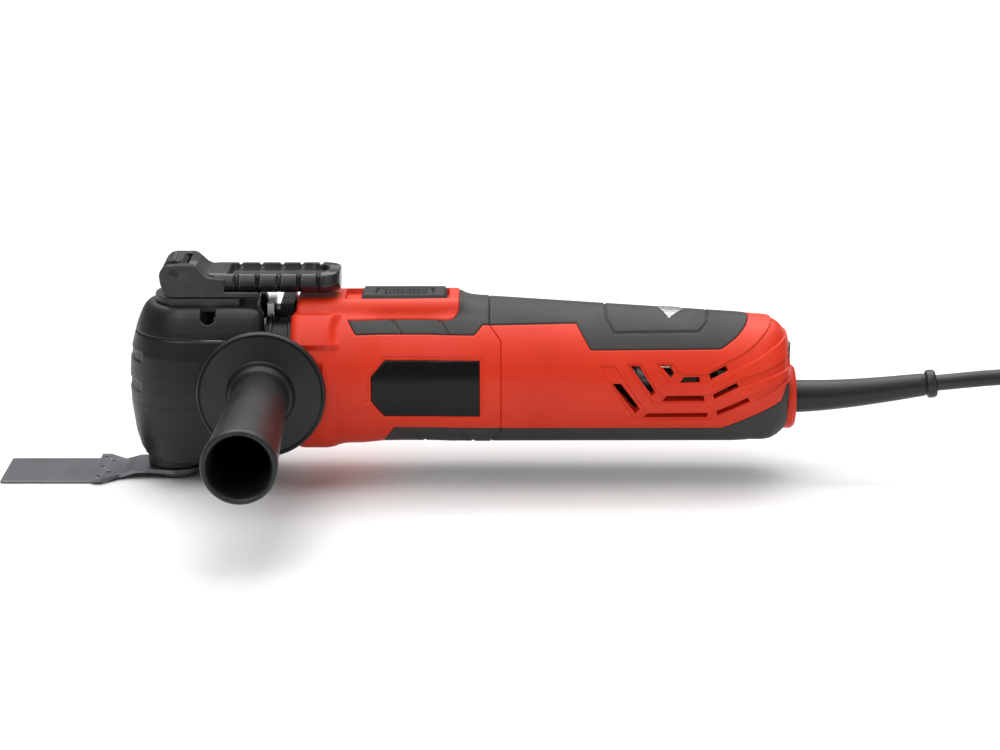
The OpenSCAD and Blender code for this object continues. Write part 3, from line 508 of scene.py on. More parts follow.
PAD_GROOVES = [
    [[103.5, 27.6], [106.1, 22.1], [108.4, 18.6], [112, 12]],
    [[123.7, 27.6], [126.3, 22.2], [128.8, 19], [132.6, 12]],
]
BOSS = [[50, 63.2], [72.5, 63.2], [75.2, 65.6], [75.6, 72.8], [73.6, 75.6], [50, 75.6]]
SWITCH_RECESS = (75.0, 119.8, 9.4, 78.4)
RIDGE_HALF = 14.0
RIDGE_ROUND = 5.0
SCREW_HOLE_R = 3.7
SHELL_WALL = 2.4
INLAY_WALL = 1.5
PLATE_WALL = 1.2
HEAD_WALL = 2.2
WINDOW_X, WINDOW_HALF_X, WINDOW_LEAN, WINDOW_HALF_Y = 215.3, 5.8, 1.6, 10.4
WINDOW_COSINES = (0.927, 0.815)
DIAL_Z, DIAL_SLOT_HALF_Z, DIAL_SLOT_HALF_Y = 55.0, 4.2, 12.2
BOOT_Z, BOOT_HOLE_R = 34.8, 7.5
REAR_FACE_X = 252.0


def front_distance(p):
    """Below zero inside the front body: a round barrel with a flat-topped ridge blended onto it."""
    x, y, z = p.T
    barrel = np.hypot(y, z - np.interp(x, *FRONT_HEIGHTS.T)) - np.interp(x, *FRONT_RADII.T)
    top = np.interp(x, *SADDLE_TOPS.T)
    across = np.abs(y) - (RIDGE_HALF - RIDGE_ROUND)
    above = z - (top - RIDGE_ROUND)
    outer = np.hypot(np.maximum(across, 0), np.maximum(above, 0))
    ridge = outer + np.minimum(np.maximum(across, above), 0) - RIDGE_ROUND
    ridge = np.where(z < 60, 99.0, ridge)
    return smooth_min(barrel, ridge, 2.4)


def front_skin():
    turns = 220
    angles = (np.arange(turns) + 0.5) / turns * 2 * math.pi
    aim = np.stack([np.zeros(turns), np.sin(angles), np.cos(angles)], 1)
    stations = [(54.5, 0.74), (54.5, 0.955), (54.55, 0.975), (54.8, 0.99), (55.3, 0.998)]
    stations += [(x, 1.0) for x in np.arange(56.0, 142.9, 0.75)]
    rows = []
    for x, share in stations:
        middle = np.array([x, 0.0, 47.0])
        low, high = np.full(turns, 15.0), np.full(turns, 50.0)
        for _ in range(22):
            r = (low + high) / 2
            out = front_distance(middle + aim * r[:, None]) > 0
            high, low = np.where(out, r, high), np.where(out, low, r)
        flat = np.array([-1.0, 0, 0])
        lean = {0.74: 1.0, 0.955: 1.0, 0.975: 0.75, 0.99: 0.5, 0.998: 0.2}.get(share, 0.0)
        rows.append((middle + aim * (low * share)[:, None], aim * (1 - lean) + flat * lean))
    return tube_skin(rows, turns)


def rear_skin():
    turns = 216
    angles = (np.arange(turns) + 0.5) / turns * 2 * math.pi
    aim = np.sin(angles)[:, None] * np.array([0.0, 1.0, 0.0]) + np.cos(angles)[:, None] * REAR_UP
    profile = []
    for (s0, r0), (s1, r1) in zip(REAR_PROFILE, REAR_PROFILE[1:]):
        parts = max(1, round(math.dist((s0, r0), (s1, r1)) / 0.85))
        profile += [(s0 + (s1 - s0) * k / parts, r0 + (r1 - r0) * k / parts) for k in range(parts)]
    profile.append(tuple(REAR_PROFILE[-1]))
    profile = np.array(profile)
    rows = []
    for k, (s, r) in enumerate(profile):
        ds, dr = profile[min(k + 2, len(profile) - 1)] - profile[max(k - 2, 0)]
        size = math.hypot(ds, dr)
        rows.append((REAR_ORIGIN + s * REAR_AXIS + aim * r, aim * (ds / size) + REAR_AXIS * (-dr / size)))
    return tube_skin(rows, turns)


def parting(p):
    return p[:, 0] - np.interp(p[:, 2], [a[1] for a in PARTING], [a[0] for a in PARTING])


def seam(p):
    return p[:, 1]


def near_top(p):
    return p[:, 2] > 60


def screw_hole(p):
    """Distance from the nearest screw hole's wall, on the far half only."""
    gap = np.min([np.hypot(p[:, 0] - x, p[:, 2] - z) for x, z, _ in SCREWS], axis=0) - SCREW_HOLE_R
    return np.where(p[:, 1] > 0, gap, FAR)


def screw_tunnels(flat, inner):
    """A screw hole's wall runs straight in to the screw's head."""
    rim = np.abs(screw_hole(flat)) < 0.05
    nearest = np.argmin([np.hypot(flat[rim, 0] - x, flat[rim, 2] - z) for x, z, _ in SCREWS], axis=0)
    inner[rim] = np.stack([flat[rim, 0], SCREWS[nearest, 2] - SHELL_WALL, flat[rim, 2]], 1)


def recess_box(p):
    """Distance from the switch recess's wall, seen from above."""
    x0, x1, half, _ = SWITCH_RECESS
    gap = np.maximum(np.maximum(x0 - p[:, 0], p[:, 0] - x1), np.abs(p[:, 1]) - half)
    return np.where(near_top(p), gap, FAR)


def front_relief(p):
    h = np.zeros(len(p))
    for outline in (FRONT_GRIP, FRONT_PAD):
        h += rolled(inside(p, outline))
    h += rolled(parting(p), 0.6) + rolled(p[:, 1], 0.42, 0.6)
    plate = inside(p, PLATE)
    h += np.where(plate < 0, -0.6, 0) + rolled(plate, 0.4, 0.4)
    rim = inside(p, PLATE_RIM)
    h += np.where(plate >= 0, -0.45 * (1 - smooth(-0.1, 0.35, rim)), 0)
    for line in BAND_GROOVES:
        h += groove(away(p, line), 0.95, 0.55) * (inside(p, FRONT_GRIP) < 0.01)
    for line in PAD_GROOVES:
        h += groove(away(p, line), 1.1, 0.75) * (inside(p, FRONT_PAD) < 0.01)
    boss = inside(p, BOSS)
    scoop = np.hypot(p[:, 0] - 77.2, p[:, 2] - 69.3) - 8.2
    h += 2.1 * (1 - smooth(-1.3, 0.35, boss)) * smooth(-3.2, 0.6, scoop)
    pocket = np.maximum(np.abs(p[:, 0] - 65.2) - 0.9, np.abs(p[:, 2] - 55.4) - 1.4)
    h += -1.6 * (1 - smooth(-0.1, 0.15, pocket)) * (np.abs(p[:, 1]) > 20)
    waist = smooth(0, 7, 69.4 - p[:, 0] - 0.55 * (p[:, 2] - 28)) * smooth(2, -1.5, p[:, 2] - 33)
    h += 0.9 * waist
    return h


def front_lift(p):
    h = front_relief(p)
    recess = recess_box(p)
    floor = SWITCH_RECESS[3] - p[:, 2]
    h = np.where(recess < -0.2, floor, np.where(recess < 0.03, h - 0.1, h))
    oval = np.hypot((p[:, 0] - 78.6) / 2.6, p[:, 1] / 1.5 + 3.3) - 1
    return h + np.where(recess < -0.2, -0.22 * (np.abs(oval) < 0.16), 0)


def rear_lift(p):
    h = rolled(inside(p, REAR_GRIP)) + rolled(inside(p, REAR_PAD))
    h += rolled(parting(p), 0.6) + rolled(p[:, 1], 0.42, 0.6)
    h += groove(away(p, GRIP_PANEL), 0.7, 0.6) * (p[:, 2] > 66)
    for outline in CHANNELS:
        h += -0.75 * (1 - smooth(-0.42, 0.06, inside(p, outline)))
    for outline in VENTS:
        h += rolled(inside(p, outline), 0.2, 0.4)
    h += rolled(lens_hole(p), 0.3, 0.4)
    tail = smooth(249, 259, p[:, 0])
    h += tail * (1.5 * (1 - smooth(25, 36, p[:, 2])) + 1.2 * smooth(60, 68, p[:, 2]))
    h += rolled(dial_slot(p), 0.3, 0.5)
    return h


def rear_wall(p):
    """The wall is thickest round the vents, whose reveals are deep."""
    gap = np.min([inside(p, outline) for outline in VENTS], axis=0)
    return SHELL_WALL + 2.1 * (1 - smooth(0.3, 2.5, gap))


def lens_hole(p):
    """Distance from the lozenge-shaped window across the top."""
    x, y = p[:, 0] - WINDOW_X, np.abs(p[:, 1])
    left = (-x + y * (WINDOW_HALF_X - WINDOW_LEAN) / WINDOW_HALF_Y - WINDOW_HALF_X) * WINDOW_COSINES[0]
    right = (x + y * (WINDOW_HALF_X + WINDOW_LEAN) / WINDOW_HALF_Y - WINDOW_HALF_X) * WINDOW_COSINES[1]
    return np.where(near_top(p), np.maximum(left, right), FAR)


def dial_slot(p):
    gap = np.maximum(np.abs(p[:, 2] - DIAL_Z) - DIAL_SLOT_HALF_Z, np.abs(p[:, 1]) - DIAL_SLOT_HALF_Y)
    return np.where(p[:, 0] > REAR_FACE_X, gap, FAR)


def boot_hole(p):
    return np.where(p[:, 0] > REAR_FACE_X, np.hypot(p[:, 1], p[:, 2] - BOOT_Z) - BOOT_HOLE_R, FAR)


def body_front():
    skin = front_skin()
    for outline in (FRONT_GRIP, FRONT_PAD):
        skin.cut(lambda p: inside(p, outline), *ROLL_LEVELS)
    skin.cut(lambda p: inside(p, PLATE), -0.4, -0.15, 0.0, 0.4)
    skin.cut(lambda p: inside(p, PLATE_RIM), -0.1, 0.1, 0.35)
    skin.cut(parting, -0.55, -0.25, 0.0)
    skin.cut(seam, -0.4, -0.15, 0.0, 0.15, 0.4)
    skin.cut(lambda p: inside(p, BOSS), -1.3, -0.5, 0.35)
    skin.cut(recess_box, -0.22, 0.0, 0.3)
    skin.cut(screw_hole, 0.0)
    for line in BAND_GROOVES + PAD_GROOVES:
        skin.cut(lambda p: away(p, line), 0.2, 0.6, 1.0)
    whole = skin.where(lambda p: (parting(p) < 0) & (screw_hole(p) > 0))
    red = whole
    for outline in (FRONT_GRIP, FRONT_PAD, PLATE):
        red = red.where(lambda p: inside(p, outline) > 0)
    for side, name in ((-1, "front_shell_left"), (1, "front_shell_right")):
        half = red.where(lambda p: p[:, 1] * side > 0)
        solid_piece(name + "_skin", half, front_lift, SHELL_WALL, RED, [name], slot="red_plastic",
                    tunnels=screw_tunnels)
    solid_piece("front_grips_skin", whole.where(lambda p: inside(p, FRONT_GRIP) < 0),
                front_lift, INLAY_WALL, GREY, ["front_grips"], slot="grey_rubber")
    solid_piece("front_pads_skin", whole.where(lambda p: inside(p, FRONT_PAD) < 0),
                front_lift, INLAY_WALL, GREY, ["front_pads"], slot="grey_rubber", tunnels=screw_tunnels)
    solid_piece("side_plates_skin", whole.where(lambda p: inside(p, PLATE) < 0),
                front_lift, PLATE_WALL, GLOSS, ["side_plates"], slot="gloss_black")


def body_rear():
    skin = rear_skin()
    for outline in (REAR_GRIP, REAR_PAD):
        skin.cut(lambda p: inside(p, outline), *ROLL_LEVELS)
    skin.cut(parting, 0.0, 0.25, 0.55)
    skin.cut(seam, -0.4, -0.15, 0.0, 0.15, 0.4)
    for outline in CHANNELS:
        skin.cut(lambda p: inside(p, outline), -0.42, -0.2, 0.06)
    for outline in VENTS:
        skin.cut(lambda p: inside(p, outline), 0.0, 0.2, 0.4)
    skin.cut(lens_hole, 0.0, 0.2, 0.4)
    skin.cut(dial_slot, 0.0, 0.25, 0.5)
    skin.cut(boot_hole, 0.0)
    skin.cut(screw_hole, 0.0)
    skin.cut(lambda p: away(p, GRIP_PANEL), 0.12, 0.35, 0.65)
    whole = skin
    for field in (parting, lens_hole, dial_slot, boot_hole, screw_hole):
        whole = whole.where(lambda p: field(p) > 0)
    for outline in VENTS:
        whole = whole.where(lambda p: inside(p, outline) > 0)
    red = whole.where(lambda p: (inside(p, REAR_GRIP) > 0) & (inside(p, REAR_PAD) > 0))
    for side, name in ((-1, "rear_shell_left"), (1, "rear_shell_right")):
        half = red.where(lambda p: p[:, 1] * side > 0)
        solid_piece(name + "_skin", half, rear_lift, rear_wall, RED, [name], slot="red_plastic",
                    tunnels=screw_tunnels)
    solid_piece("rear_grips_skin", whole.where(lambda p: inside(p, REAR_GRIP) < 0),
                rear_lift, INLAY_WALL, GREY, ["rear_grips"], slot="grey_rubber", tunnels=screw_tunnels)
    solid_piece("rear_pads_skin", whole.where(lambda p: inside(p, REAR_PAD) < 0), rear_lift, INLAY_WALL, GREY,
                ["rear_pads"], slot="grey_rubber", tunnels=screw_tunnels)


body_front()
body_rear()


# ---------------------------------------------------------------- head, lever, switch, boot and handle
def sheet(rows, closed=True):
    """Joins equal rows of points into a surface that faces outward; each row is closed or open."""
    width = len(rows[0][0])
    v = np.concatenate([r[0] for r in rows])
    n = np.concatenate([r[1] for r in rows])
    i, j = np.meshgrid(np.arange(len(rows) - 1), np.arange(width if closed else width - 1), indexing="ij")
    a = (i * width + j).ravel()
    b = (i * width + (j + 1) % width).ravel()
    c, d = a + width, b + width
    t = np.concatenate([np.stack([a, b, d], 1), np.stack([a, d, c], 1)])
    p, q, r = v[t[:, 0]], v[t[:, 1]], v[t[:, 2]]
    if (np.cross(q - p, r - p) * n[t[:, 0]]).sum() < 0:
        t = t[:, ::-1]
    return Skin(v, n, t)


def loop_normals(points, lift=0.0):
    """Outward directions of a closed plan loop that runs anticlockwise, tipped up by a share."""
    ahead, behind = np.roll(points, -1, 0), np.roll(points, 1, 0)
    run = ahead - behind
    run /= np.maximum(np.linalg.norm(run, axis=1), 1e-9)[:, None]
    flat = np.stack([run[:, 1], -run[:, 0], np.zeros(len(run))], 1) * (1 - lift)
    flat[:, 2] = lift
    return flat


HEAD_X = 8.5
HEAD_BACK = 40.5
HEAD_SEAM = 66.0
HEAD_TOP = 78.6
HEAD_CORNER = 4.0
HEAD_OUTLINE = np.array([[10.5, 20.9], [11.2, 21.9], [14.7, 23.9], [21.5, 25.7], [33, 27.2], [42, 27.6],
                         [48.7, 27.4], [57.7, 26.7], [64.4, 25.0], [66, 24.6], [69, 23.7], [72.4, 22.4],
                         [75, 21.2], [76.8, 20.0], [77.8, 18.9], [78.4, 17.9], [78.6, 17.2]])


def spread(points, counts):
    """Points along a plan path, a set count on each stretch."""
    out = []
    for (a, b), count in zip(zip(points, points[1:]), counts):
        a, b = np.array(a, float), np.array(b, float)
        out += [a + (b - a) * k / count for k in range(count)]
    return out


def head_loop(z, notch):
    """The head's plan at a height: round in front, straight sides, rounded rear corners."""
    r = np.interp(z, *HEAD_OUTLINE.T)
    corner = HEAD_CORNER
    over = max(0.0, z - HEAD_TOP + corner)
    back = HEAD_BACK - corner + math.sqrt(max(0.0, corner ** 2 - over ** 2))
    front = [(HEAD_X - r * math.sin(a), -r * math.cos(a)) for a in np.linspace(0, math.pi, 121)]
    right = spread([(HEAD_X, r), (back - corner, r)], [34])
    bend = [(back - corner + corner * math.sin(a), r - corner + corner * math.cos(a))
            for a in np.linspace(0, math.pi / 2, 10)]
    if notch:
        dent = [(back, 12.4), (37.4, 10.5), (37.4, -10.5), (back, -12.4)]
        gap = spread([(back, r - corner)] + dent + [(back, corner - r)], [8, 4, 20, 4, 8])
    else:
        gap = spread([(back, r - corner), (back, corner - r)], [44])
    bend_back = [(x, -y) for x, y in bend[::-1]]
    left = spread([(back - corner, -r), (HEAD_X, -r)], [34])
    return np.array(front[:-1] + right + bend[:-1] + gap + bend_back[:-1] + left)


def head_rows(heights, notch):
    rows = []
    for z in heights:
        slope = (np.interp(z + 0.4, *HEAD_OUTLINE.T) - np.interp(z - 0.4, *HEAD_OUTLINE.T)) / 0.8
        tip = min(0.9, max(-0.9, -slope / (1 + abs(slope))))
        plan = head_loop(z, notch)[::-1]
        outward = loop_normals(plan)
        if (outward[:, :2] * (plan - np.array([HEAD_X, 0]))).sum() < 0:
            outward = -outward
        outward[:, 2] = tip
        rows.append((np.column_stack([plan, np.full(len(plan), z)]), outward))
    return rows


def closing_rows(row, z, radius, up, shares):
    """Rows that lead from a plan loop in to a round hole on the spindle's axis."""
    plan = row[0][:, :2]
    angle = np.arctan2(plan[:, 1], plan[:, 0] - HEAD_X)
    hole = np.column_stack([np.cos(angle), np.sin(angle)]) * radius
    rows = []
    for share in shares:
        flat = plan * (1 - share) + hole * share
        rows.append((np.column_stack([flat, np.full(len(flat), z)]), np.tile([0.0, 0.0, up], (len(flat), 1))))
    return rows


def nose_arc(p):
    """How far round the nose a point lies from the front."""
    return np.abs(np.arctan2(p[:, 1], HEAD_X - p[:, 0])) * 26


def head_lift(p):
    arc, z = nose_arc(p), p[:, 2]
    nose = (1 - smooth(17.5, 18.3, arc)) * (p[:, 0] < HEAD_X)
    h = np.zeros(len(p))
    for low, high in ((54.6, 58.6), (41.5, 45.5)):
        h -= 0.45 * smooth(low - 0.2, low + 0.2, z) * (1 - smooth(high - 0.2, high + 0.2, z)) * nose
        for inner in (low + 1.3, low + 2.7):
            h += groove(z - inner, 0.45, 0.3) * nose * (1 - smooth(11.5, 12.2, arc))
    side = (z > 12) & (z < HEAD_SEAM)
    h += groove(z - 36.5, 0.5, 0.22) * side * (p[:, 0] < 30)
    h += groove(z - 17.6, 0.5, 0.25) * side
    arch = np.hypot(p[:, 0] - 29.5, z - 12) - 8.6
    h += 0.55 * (1 - smooth(-0.25, 0.25, arch)) * (np.abs(p[:, 1]) > 16) * (z > 11.2)
    h += rolled(z - HEAD_SEAM, 0.45, 0.7)
    return h


def cap_lift(p):
    return rolled(p[:, 2] - HEAD_SEAM, 0.45, 0.7) + rolled(notch_gap(p), 0.25, 0.4)


def notch_gap(p):
    """Distance from the finger notches in the cap's sides."""
    low = np.minimum(p[:, 2] - 75.6, 0)
    return np.where(np.abs(p[:, 1]) > 14.5, np.hypot(p[:, 0] - 17.2, low) - 3.2, FAR)


def boss_gap(p):
    return np.where(np.abs(p[:, 1]) > 18, np.hypot(p[:, 0] - 40.4, p[:, 2] - 45.5) - 8.75, FAR)


def back_gap(p):
    return np.where(p[:, 0] > HEAD_BACK - 0.2, np.hypot(p[:, 1], p[:, 2] - MOTOR_Z) - 24.9, FAR)


def head():
    wall_rows = np.arange(15.2, HEAD_SEAM - 0.2, 0.55)
    heights = np.concatenate([np.arange(10.5, 14.8, 0.5), wall_rows, [HEAD_SEAM - 0.15]])
    rows = head_rows(heights, False)
    floor = closing_rows(rows[0], 10.5, 13.6, -1.0, (1.0, 0.75, 0.5, 0.25, 0.08))
    cover = sheet(floor + rows)
    cover.cut(boss_gap, 0.0).cut(back_gap, 0.0)
    cover = cover.where(lambda p: (boss_gap(p) > 0) & (back_gap(p) > 0))
    solid_piece("head_cover_skin", cover, head_lift, HEAD_WALL, BLACK, ["head_cover"], slot="black_plastic")
    wall_rows = np.concatenate([np.arange(66.7, 77.0, 0.55), np.arange(77.2, 78.5, 0.2)])
    heights = np.concatenate([[HEAD_SEAM + 0.15], wall_rows, [HEAD_TOP]])
    rows = head_rows(heights, True)
    top = closing_rows(rows[-1], HEAD_TOP, 4.5, 1.0, (0.06, 0.15, 0.3, 0.5, 0.75, 1.0))
    cap = sheet(rows + top)
    cap.cut(notch_gap, -0.1, 0.0, 0.35)
    cap = cap.where(lambda p: notch_gap(p) > 0)
    solid_piece("head_cap_skin", cap, cap_lift, HEAD_WALL, BLACK, ["head_cap"], slot="black_plastic")


GRIP_END = 73.0
GRIP_HALF = 14.0
GRIP_CORNER = 8.0
LEVER_NOTCHES = (29.0, 37.9, 47.0, 55.5, 63.9)
LEVER_LOW = 83.8
LEVER_HIGH = 92.0
EAR_SIDE = [[-3.9, 91.6], [-3.6, 93.2], [-2.7, 94.7], [-1.4, 95.8], [0.2, 96.4], [3, 96.6], [9, 96.6],
            [10.6, 96], [12.4, 94.4], [14.6, 92.3], [17.4, 91.0], [24, 90.2], [24, 84.6], [38, 84.5],
            [39, 83.6], [39, 82.1], [1, 82.1], [-0.6, 82.6], [-1.9, 83.9], [-2.9, 86.0], [-3.6, 88.6]]
BRIDGE_SIDE = [[8.7, 96.5], [10.6, 96], [12.4, 94.4], [14.6, 92.3], [17.4, 91.0], [25.6, 89.9],
               [25.6, 84.0], [8.7, 84.6]]


def extruded(outline, low, high, chamfer):
    """A prism across the body, its two faces chamfered, as (points, faces)."""
    count = len(outline)
    line = np.array(outline, float)
    run = np.roll(line, -1, 0) - np.roll(line, 1, 0)
    run /= np.linalg.norm(run, axis=1)[:, None]
    turn = np.sign(sum(a[0] * b[1] - b[0] * a[1] for a, b in zip(outline, outline[1:] + outline[:1])))
    inner = line - np.stack([run[:, 1], -run[:, 0]], 1) * turn * chamfer
    levels = [(inner, low), (line, low + chamfer), (line, high - chamfer), (inner, high)]
    points = [(x, y, z) for ring, y in levels for x, z in ring]
    faces = [tuple(range(count)), tuple(range(4 * count - 1, 3 * count - 1, -1))]
    for level in range(3):
        for k in range(count):
            a, b = level * count + k, level * count + (k + 1) % count
            faces.append((a, a + count, b + count, b))
    return points, faces


def lever_section(x):
    """The grip's closed outline across the lever at a station along it."""
    past = x - (GRIP_END - GRIP_CORNER)
    half = GRIP_HALF
    if past >= 0:
        half += math.sqrt(max(0.0, GRIP_CORNER ** 2 - past * past)) - GRIP_CORNER
    if x < 20:
        half -= 1.6 * (20 - x) / 4
    dip = max(0.0, *(1.15 * (1 - abs(x - at) / 1.1) for at in LEVER_NOTCHES))
    tray = 9.6 if x < 60 else max(1.0, 9.6 - 0.1 * (x - 60) ** 2.1)
    deep = 2.6 * float(smooth(24.5, 26.5, np.array(x)) * (1 - smooth(66.0, 68.2, np.array(x))))
    lower = LEVER_HIGH - 0.8 * dip
    out = half - dip
    right = [(0, LEVER_LOW), (out - 3.6, LEVER_LOW), (out - 2.4, LEVER_LOW + 0.3),
             (out - 1.0, LEVER_LOW + 1.6), (out - 0.2, LEVER_LOW + 2.9), (out, LEVER_LOW + 3.6),
             (out - 0.2, LEVER_LOW + 4.2), (out - 1.3, lower - 0.9), (out - 1.9, lower - 0.3),
             (out - 2.6, lower), (tray + 0.9, lower), (tray + 0.5, lower - 0.2),
             (tray + 0.2, max(lower - 1.0, LEVER_HIGH - deep)),
             (tray - 0.4, LEVER_HIGH - deep + 0.15 * (deep > 0.5)), (tray - 1.2, LEVER_HIGH - deep),
             (0, LEVER_HIGH - deep)]
    right = [(max(0.0, y), z) for y, z in right]
    return right + [(-y, z) for y, z in right[-2:0:-1]]


def lever():
    rounding = GRIP_END - GRIP_CORNER + GRIP_CORNER * np.sin(np.linspace(0, math.pi / 2, 26))
    stations = list(np.arange(16.0, 65.0, 0.4)) + list(rounding)
    rings = [[(x, y, z) for y, z in lever_section(x)] for x in stations]
    count = len(rings[0])
    points = [p for ring in rings for p in ring]
    faces = [tuple(range(count)), tuple(range(len(points) - 1, len(points) - 1 - count, -1))]
    for k in range(len(rings) - 1):
        for j in range(count):
            a, b = k * count + j, k * count + (j + 1) % count
            faces.append((a, a + count, b + count, b))
    for outline, low, high in ((EAR_SIDE, 10.0, 14.0), (EAR_SIDE, -14.0, -10.0), (BRIDGE_SIDE, -10.0, 10.0)):
        more, sides = extruded(outline, low, high, 0.45)
        faces += [tuple(i + len(points) for i in side) for side in sides]
        points += more
    closed_mesh("clamp_lever_skin", points, faces, SATIN, "clamp_lever", "lever", "black_plastic", 34)


def closed_mesh(name, points, faces, material, node, body, slot, sharp):
    mesh = bpy.data.meshes.new(name)
    mesh.from_pydata([tuple(c * MM for c in p) for p in points], [], faces)
    shape = bmesh.new()
    shape.from_mesh(mesh)
    bmesh.ops.remove_doubles(shape, verts=shape.verts, dist=0.000001)
    bmesh.ops.recalc_face_normals(shape, faces=shape.faces)
    shape.to_mesh(mesh)
    shape.free()
    mesh.validate()
    mesh.shade_smooth()
    mesh.set_sharp_from_angle(angle=math.radians(sharp))
    return place(name, mesh, material, [node], body, slot)


BUTTON = (82.0, 118.6, 9.0)
BUTTON_LEVEL = 80.0


def button_lift(p):
    """The slide button: a rounded block with a dished middle and fine cross ribs."""
    x, y = p[:, 0], np.abs(p[:, 1])
    edge = np.minimum(np.minimum(x - BUTTON[0], BUTTON[1] - x), BUTTON[2] - y)
    top = 2.2 - 1.5 * (1 - smooth(0, 1.5, edge)) ** 1.6
    dish = np.maximum(np.abs(x - 100.5) - (12.6 - 0.16 * (y - 3)), y - 7.1)
    top = top - 1.15 * (1 - smooth(-1.3, 0.1, dish))
    rib = 0.5 + 0.5 * np.cos((x - 100.5) * 2 * math.pi / 1.75)
    ribbed = (1 - smooth(-1.6, -1.1, np.maximum(dish, np.abs(x - 100.5) - 10.6)))
    return top + 0.75 * smooth(0.25, 0.8, rib) * ribbed


def switch_top():
    ends = [BUTTON[0] + 0.1, BUTTON[1] - 0.1, BUTTON[1]]
    xs = np.unique(np.concatenate([np.arange(BUTTON[0], BUTTON[1], 0.2), ends]))
    ys = np.unique(np.concatenate([np.arange(-BUTTON[2], BUTTON[2] + 0.01, 0.45), [-8.8, 8.8]]))
    rows = [(np.column_stack([np.full(len(ys), x), ys, np.full(len(ys), BUTTON_LEVEL)]),
             np.tile([0.0, 0.0, 1.0], (len(ys), 1))) for x in xs]
    solid_piece("switch_button_skin", sheet(rows, False), button_lift, 1.35, BLACK, ["switch_button"],
                body="switch", slot="black_plastic", sharp=30)


def revolved(profile, turns, place_of, ridge=None):
    """Points and faces of a closed profile (radius, along) turned about an axis."""
    points, faces = [], []
    count = len(profile)
    for k in range(turns):
        angle = 2 * math.pi * k / turns
        for radius, along in profile:
            grown = radius + (ridge(angle, radius, along) if ridge else 0.0)
            points.append(place_of(grown, angle, along))
        for j in range(count):
            a, b = k * count + j, k * count + (j + 1) % count
            c, d = (k + 1) % turns * count + j, (k + 1) % turns * count + (j + 1) % count
            faces.append((a, b, d, c))
    return points, faces


def rounded(points, radius, steps=5):
    """A closed profile whose corners are rounded by up to the radius."""
    out = []
    count = len(points)
    for k in range(count):
        before, here, after = (np.array(points[(k + s) % count], float) for s in (-1, 0, 1))
        size_in, size_out = np.linalg.norm(here - before), np.linalg.norm(after - here)
        reach = min(radius, 0.42 * size_in, 0.42 * size_out)
        start, end = here + (before - here) / size_in * reach, here + (after - here) / size_out * reach
        for t in np.linspace(0, 1, steps):
            out.append(tuple((1 - t) ** 2 * start + 2 * t * (1 - t) * here + t * t * end))
    return out


HANDLE_AXIS = (40.4, 45.5)
HANDLE_BACK = 33.6
HANDLE_END = 139.6


def handle():
    """Guard disc with a beaded rim, a shoulder, a tapered hollow grip with a lip at its open end."""
    b, e = HANDLE_BACK, HANDLE_END
    profile = [(0.3, b + 15), (0.3, b + 11), (4.1, b + 11), (4.1, b), (26.4, b), (27.4, b + 1),
               (27.4, b + 3.4), (26.6, b + 4.3), (26.0, b + 3.9), (25.5, b + 3.6), (14.9, b + 4.0),
               (14.3, b + 5.2), (13.9, b + 7.4), (12.3, b + 8.9), (11.6, b + 12), (14.6, e - 6.0),
               (14.7, e - 4.4), (15.15, e - 3.9), (15.2, e - 1.0), (14.6, e - 0.1), (13.6, e),
               (12.9, e - 0.6), (12.3, e - 2.2), (11.9, e - 6), (8.6, b + 16.5), (7.8, b + 15)]
    smoothed = rounded(profile, 0.7)

    def at(radius, angle, along):
        return (HANDLE_AXIS[0] + radius * math.cos(angle), -along, HANDLE_AXIS[1] + radius * math.sin(angle))

    def mould_line(angle, radius, along):
        on_grip = b + 12 < along < e - 5 and radius > 11
        off = min(abs((angle - line + math.pi) % (2 * math.pi) - math.pi) for line in (2.02, 2.02 + math.pi))
        return 0.13 * max(0.0, 1 - off / 0.04) if on_grip else 0.0

    points, faces = revolved(smoothed, 168, at, mould_line)
    closed_mesh("handle_grip_skin", points, faces, RUBBER, "handle_grip", "side_handle", "black_plastic", 40)


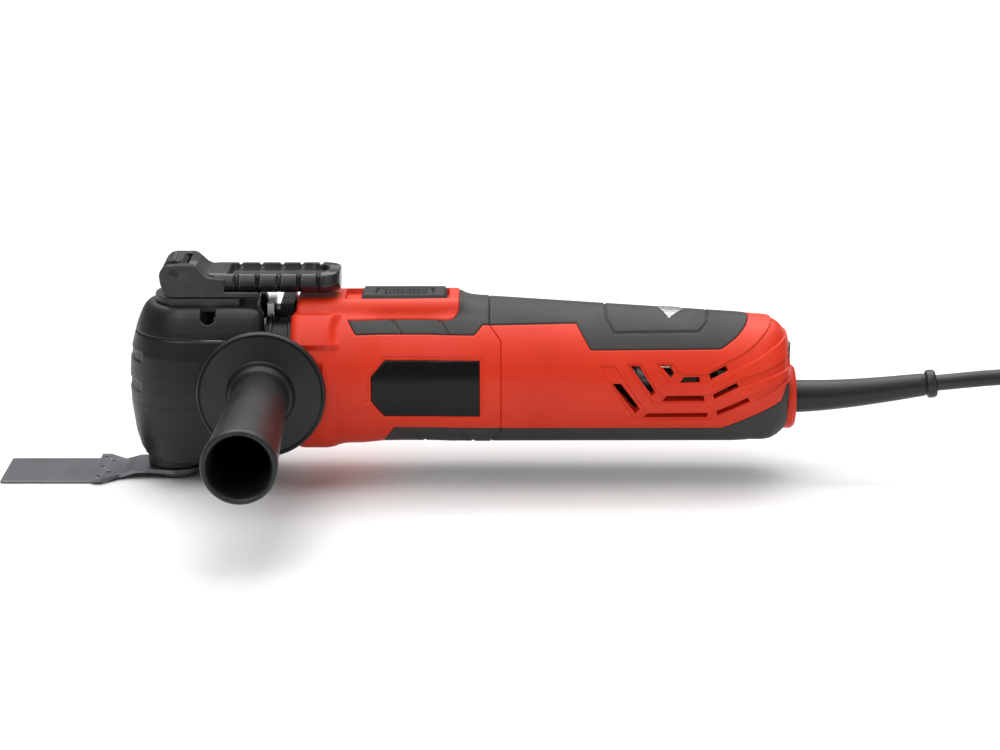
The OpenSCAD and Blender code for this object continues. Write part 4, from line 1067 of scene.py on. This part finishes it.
def boot():
    """The cord's bend relief: it leaves the collar level, sags a little and ends in a beaded lip."""
    start, end = np.array([262.0, 34.8]), np.array([331.2, 40.6])
    reach = 69.4
    tangent_in, tangent_out = np.array([reach, -2.2]), np.array([reach, reach * math.tan(math.radians(7.5))])
    stops = [(0.0, 3.0), (0.0, 7.0), (0.012, 7.2), (0.1, 7.2)]
    stops += [(t, 7.2 - 2.25 * (t - 0.1) / 0.82) for t in np.arange(0.12, 0.921, 0.02)]
    stops += [(0.925, 4.7), (0.933, 4.7), (0.938, 5.5), (0.944, 5.95), (0.955, 6.15), (0.975, 6.15),
              (0.99, 5.9), (0.998, 5.4), (1.0, 4.6), (1.0, 3.0)]
    turns = 72
    points, faces = [], []
    for t, radius in stops:
        middle = ((2 * t ** 3 - 3 * t ** 2 + 1) * start + (t ** 3 - 2 * t ** 2 + t) * tangent_in
                  + (-2 * t ** 3 + 3 * t ** 2) * end + (t ** 3 - t ** 2) * tangent_out)
        way = ((6 * t * t - 6 * t) * start + (3 * t * t - 4 * t + 1) * tangent_in
               + (6 * t - 6 * t * t) * end + (3 * t * t - 2 * t) * tangent_out)
        way /= np.linalg.norm(way)
        for k in range(turns):
            angle = 2 * math.pi * k / turns
            rise = radius * math.cos(angle)
            points.append((middle[0] - way[1] * rise, radius * math.sin(angle), middle[1] + way[0] * rise))
    for row in range(len(stops) - 1):
        for k in range(turns):
            a, b = row * turns + k, row * turns + (k + 1) % turns
            faces.append((a, b, b + turns, a + turns))
    faces += [tuple(range(turns)), tuple(range(len(points) - 1, len(points) - 1 - turns, -1))]
    closed_mesh("cord_boot_skin", points, faces, RUBBER, "cord_boot", "housing", "black_rubber", 40)


head()
lever()
switch_top()
handle()
boot()


# ---------------------------------------------------------------- floor and light
def studio():
    floor_mesh = bpy.data.meshes.new("studio_floor")
    floor_mesh.from_pydata([(-6, -4, 0), (6, -4, 0), (6, 6, 0), (-6, 6, 0)], [], [(0, 1, 2, 3)])
    floor = bpy.data.objects.new("studio_floor", floor_mesh)
    bpy.context.scene.collection.objects.link(floor)
    n = Nodes("studio_floor")
    n.put(n.shader.inputs["Base Color"], n.ramp(n.noise(0.8, 2.0), [(0.3, (0.74,) * 3), (0.7, (0.77,) * 3)]))
    n.shader.inputs["Roughness"].default_value = 0.8
    floor_mesh.materials.append(n.material)
    world = bpy.data.worlds.new("studio")
    world.use_nodes = True
    world.node_tree.nodes["Background"].inputs["Color"].default_value = (1.0, 1.0, 1.0, 1.0)
    world.node_tree.nodes["Background"].inputs["Strength"].default_value = 0.25
    bpy.context.scene.world = world
    tool = Vector((0.14, 0.0, 0.05))
    lamps = [
        ("key", (-0.5, -0.9, 1.3), 1.1, 11.0, tool),
        ("fill", (1.0, -0.9, 0.9), 1.2, 3.0, tool),
        ("top", (0.15, 0.2, 1.5), 1.6, 24.0, tool),
        ("backdrop", (0.14, 2.6, 2.2), 4.0, 95.0, Vector((0.14, 2.6, 0.0))),
    ]
    for name, place_at, size, power, target in lamps:
        light = bpy.data.lights.new(name, "AREA")
        light.shape = "SQUARE"
        light.size = size
        light.energy = power
        lamp = bpy.data.objects.new(name, light)
        bpy.context.scene.collection.objects.link(lamp)
        lamp.location = place_at
        lamp.rotation_euler = (target - Vector(place_at)).to_track_quat("-Z", "Y").to_euler()


studio()
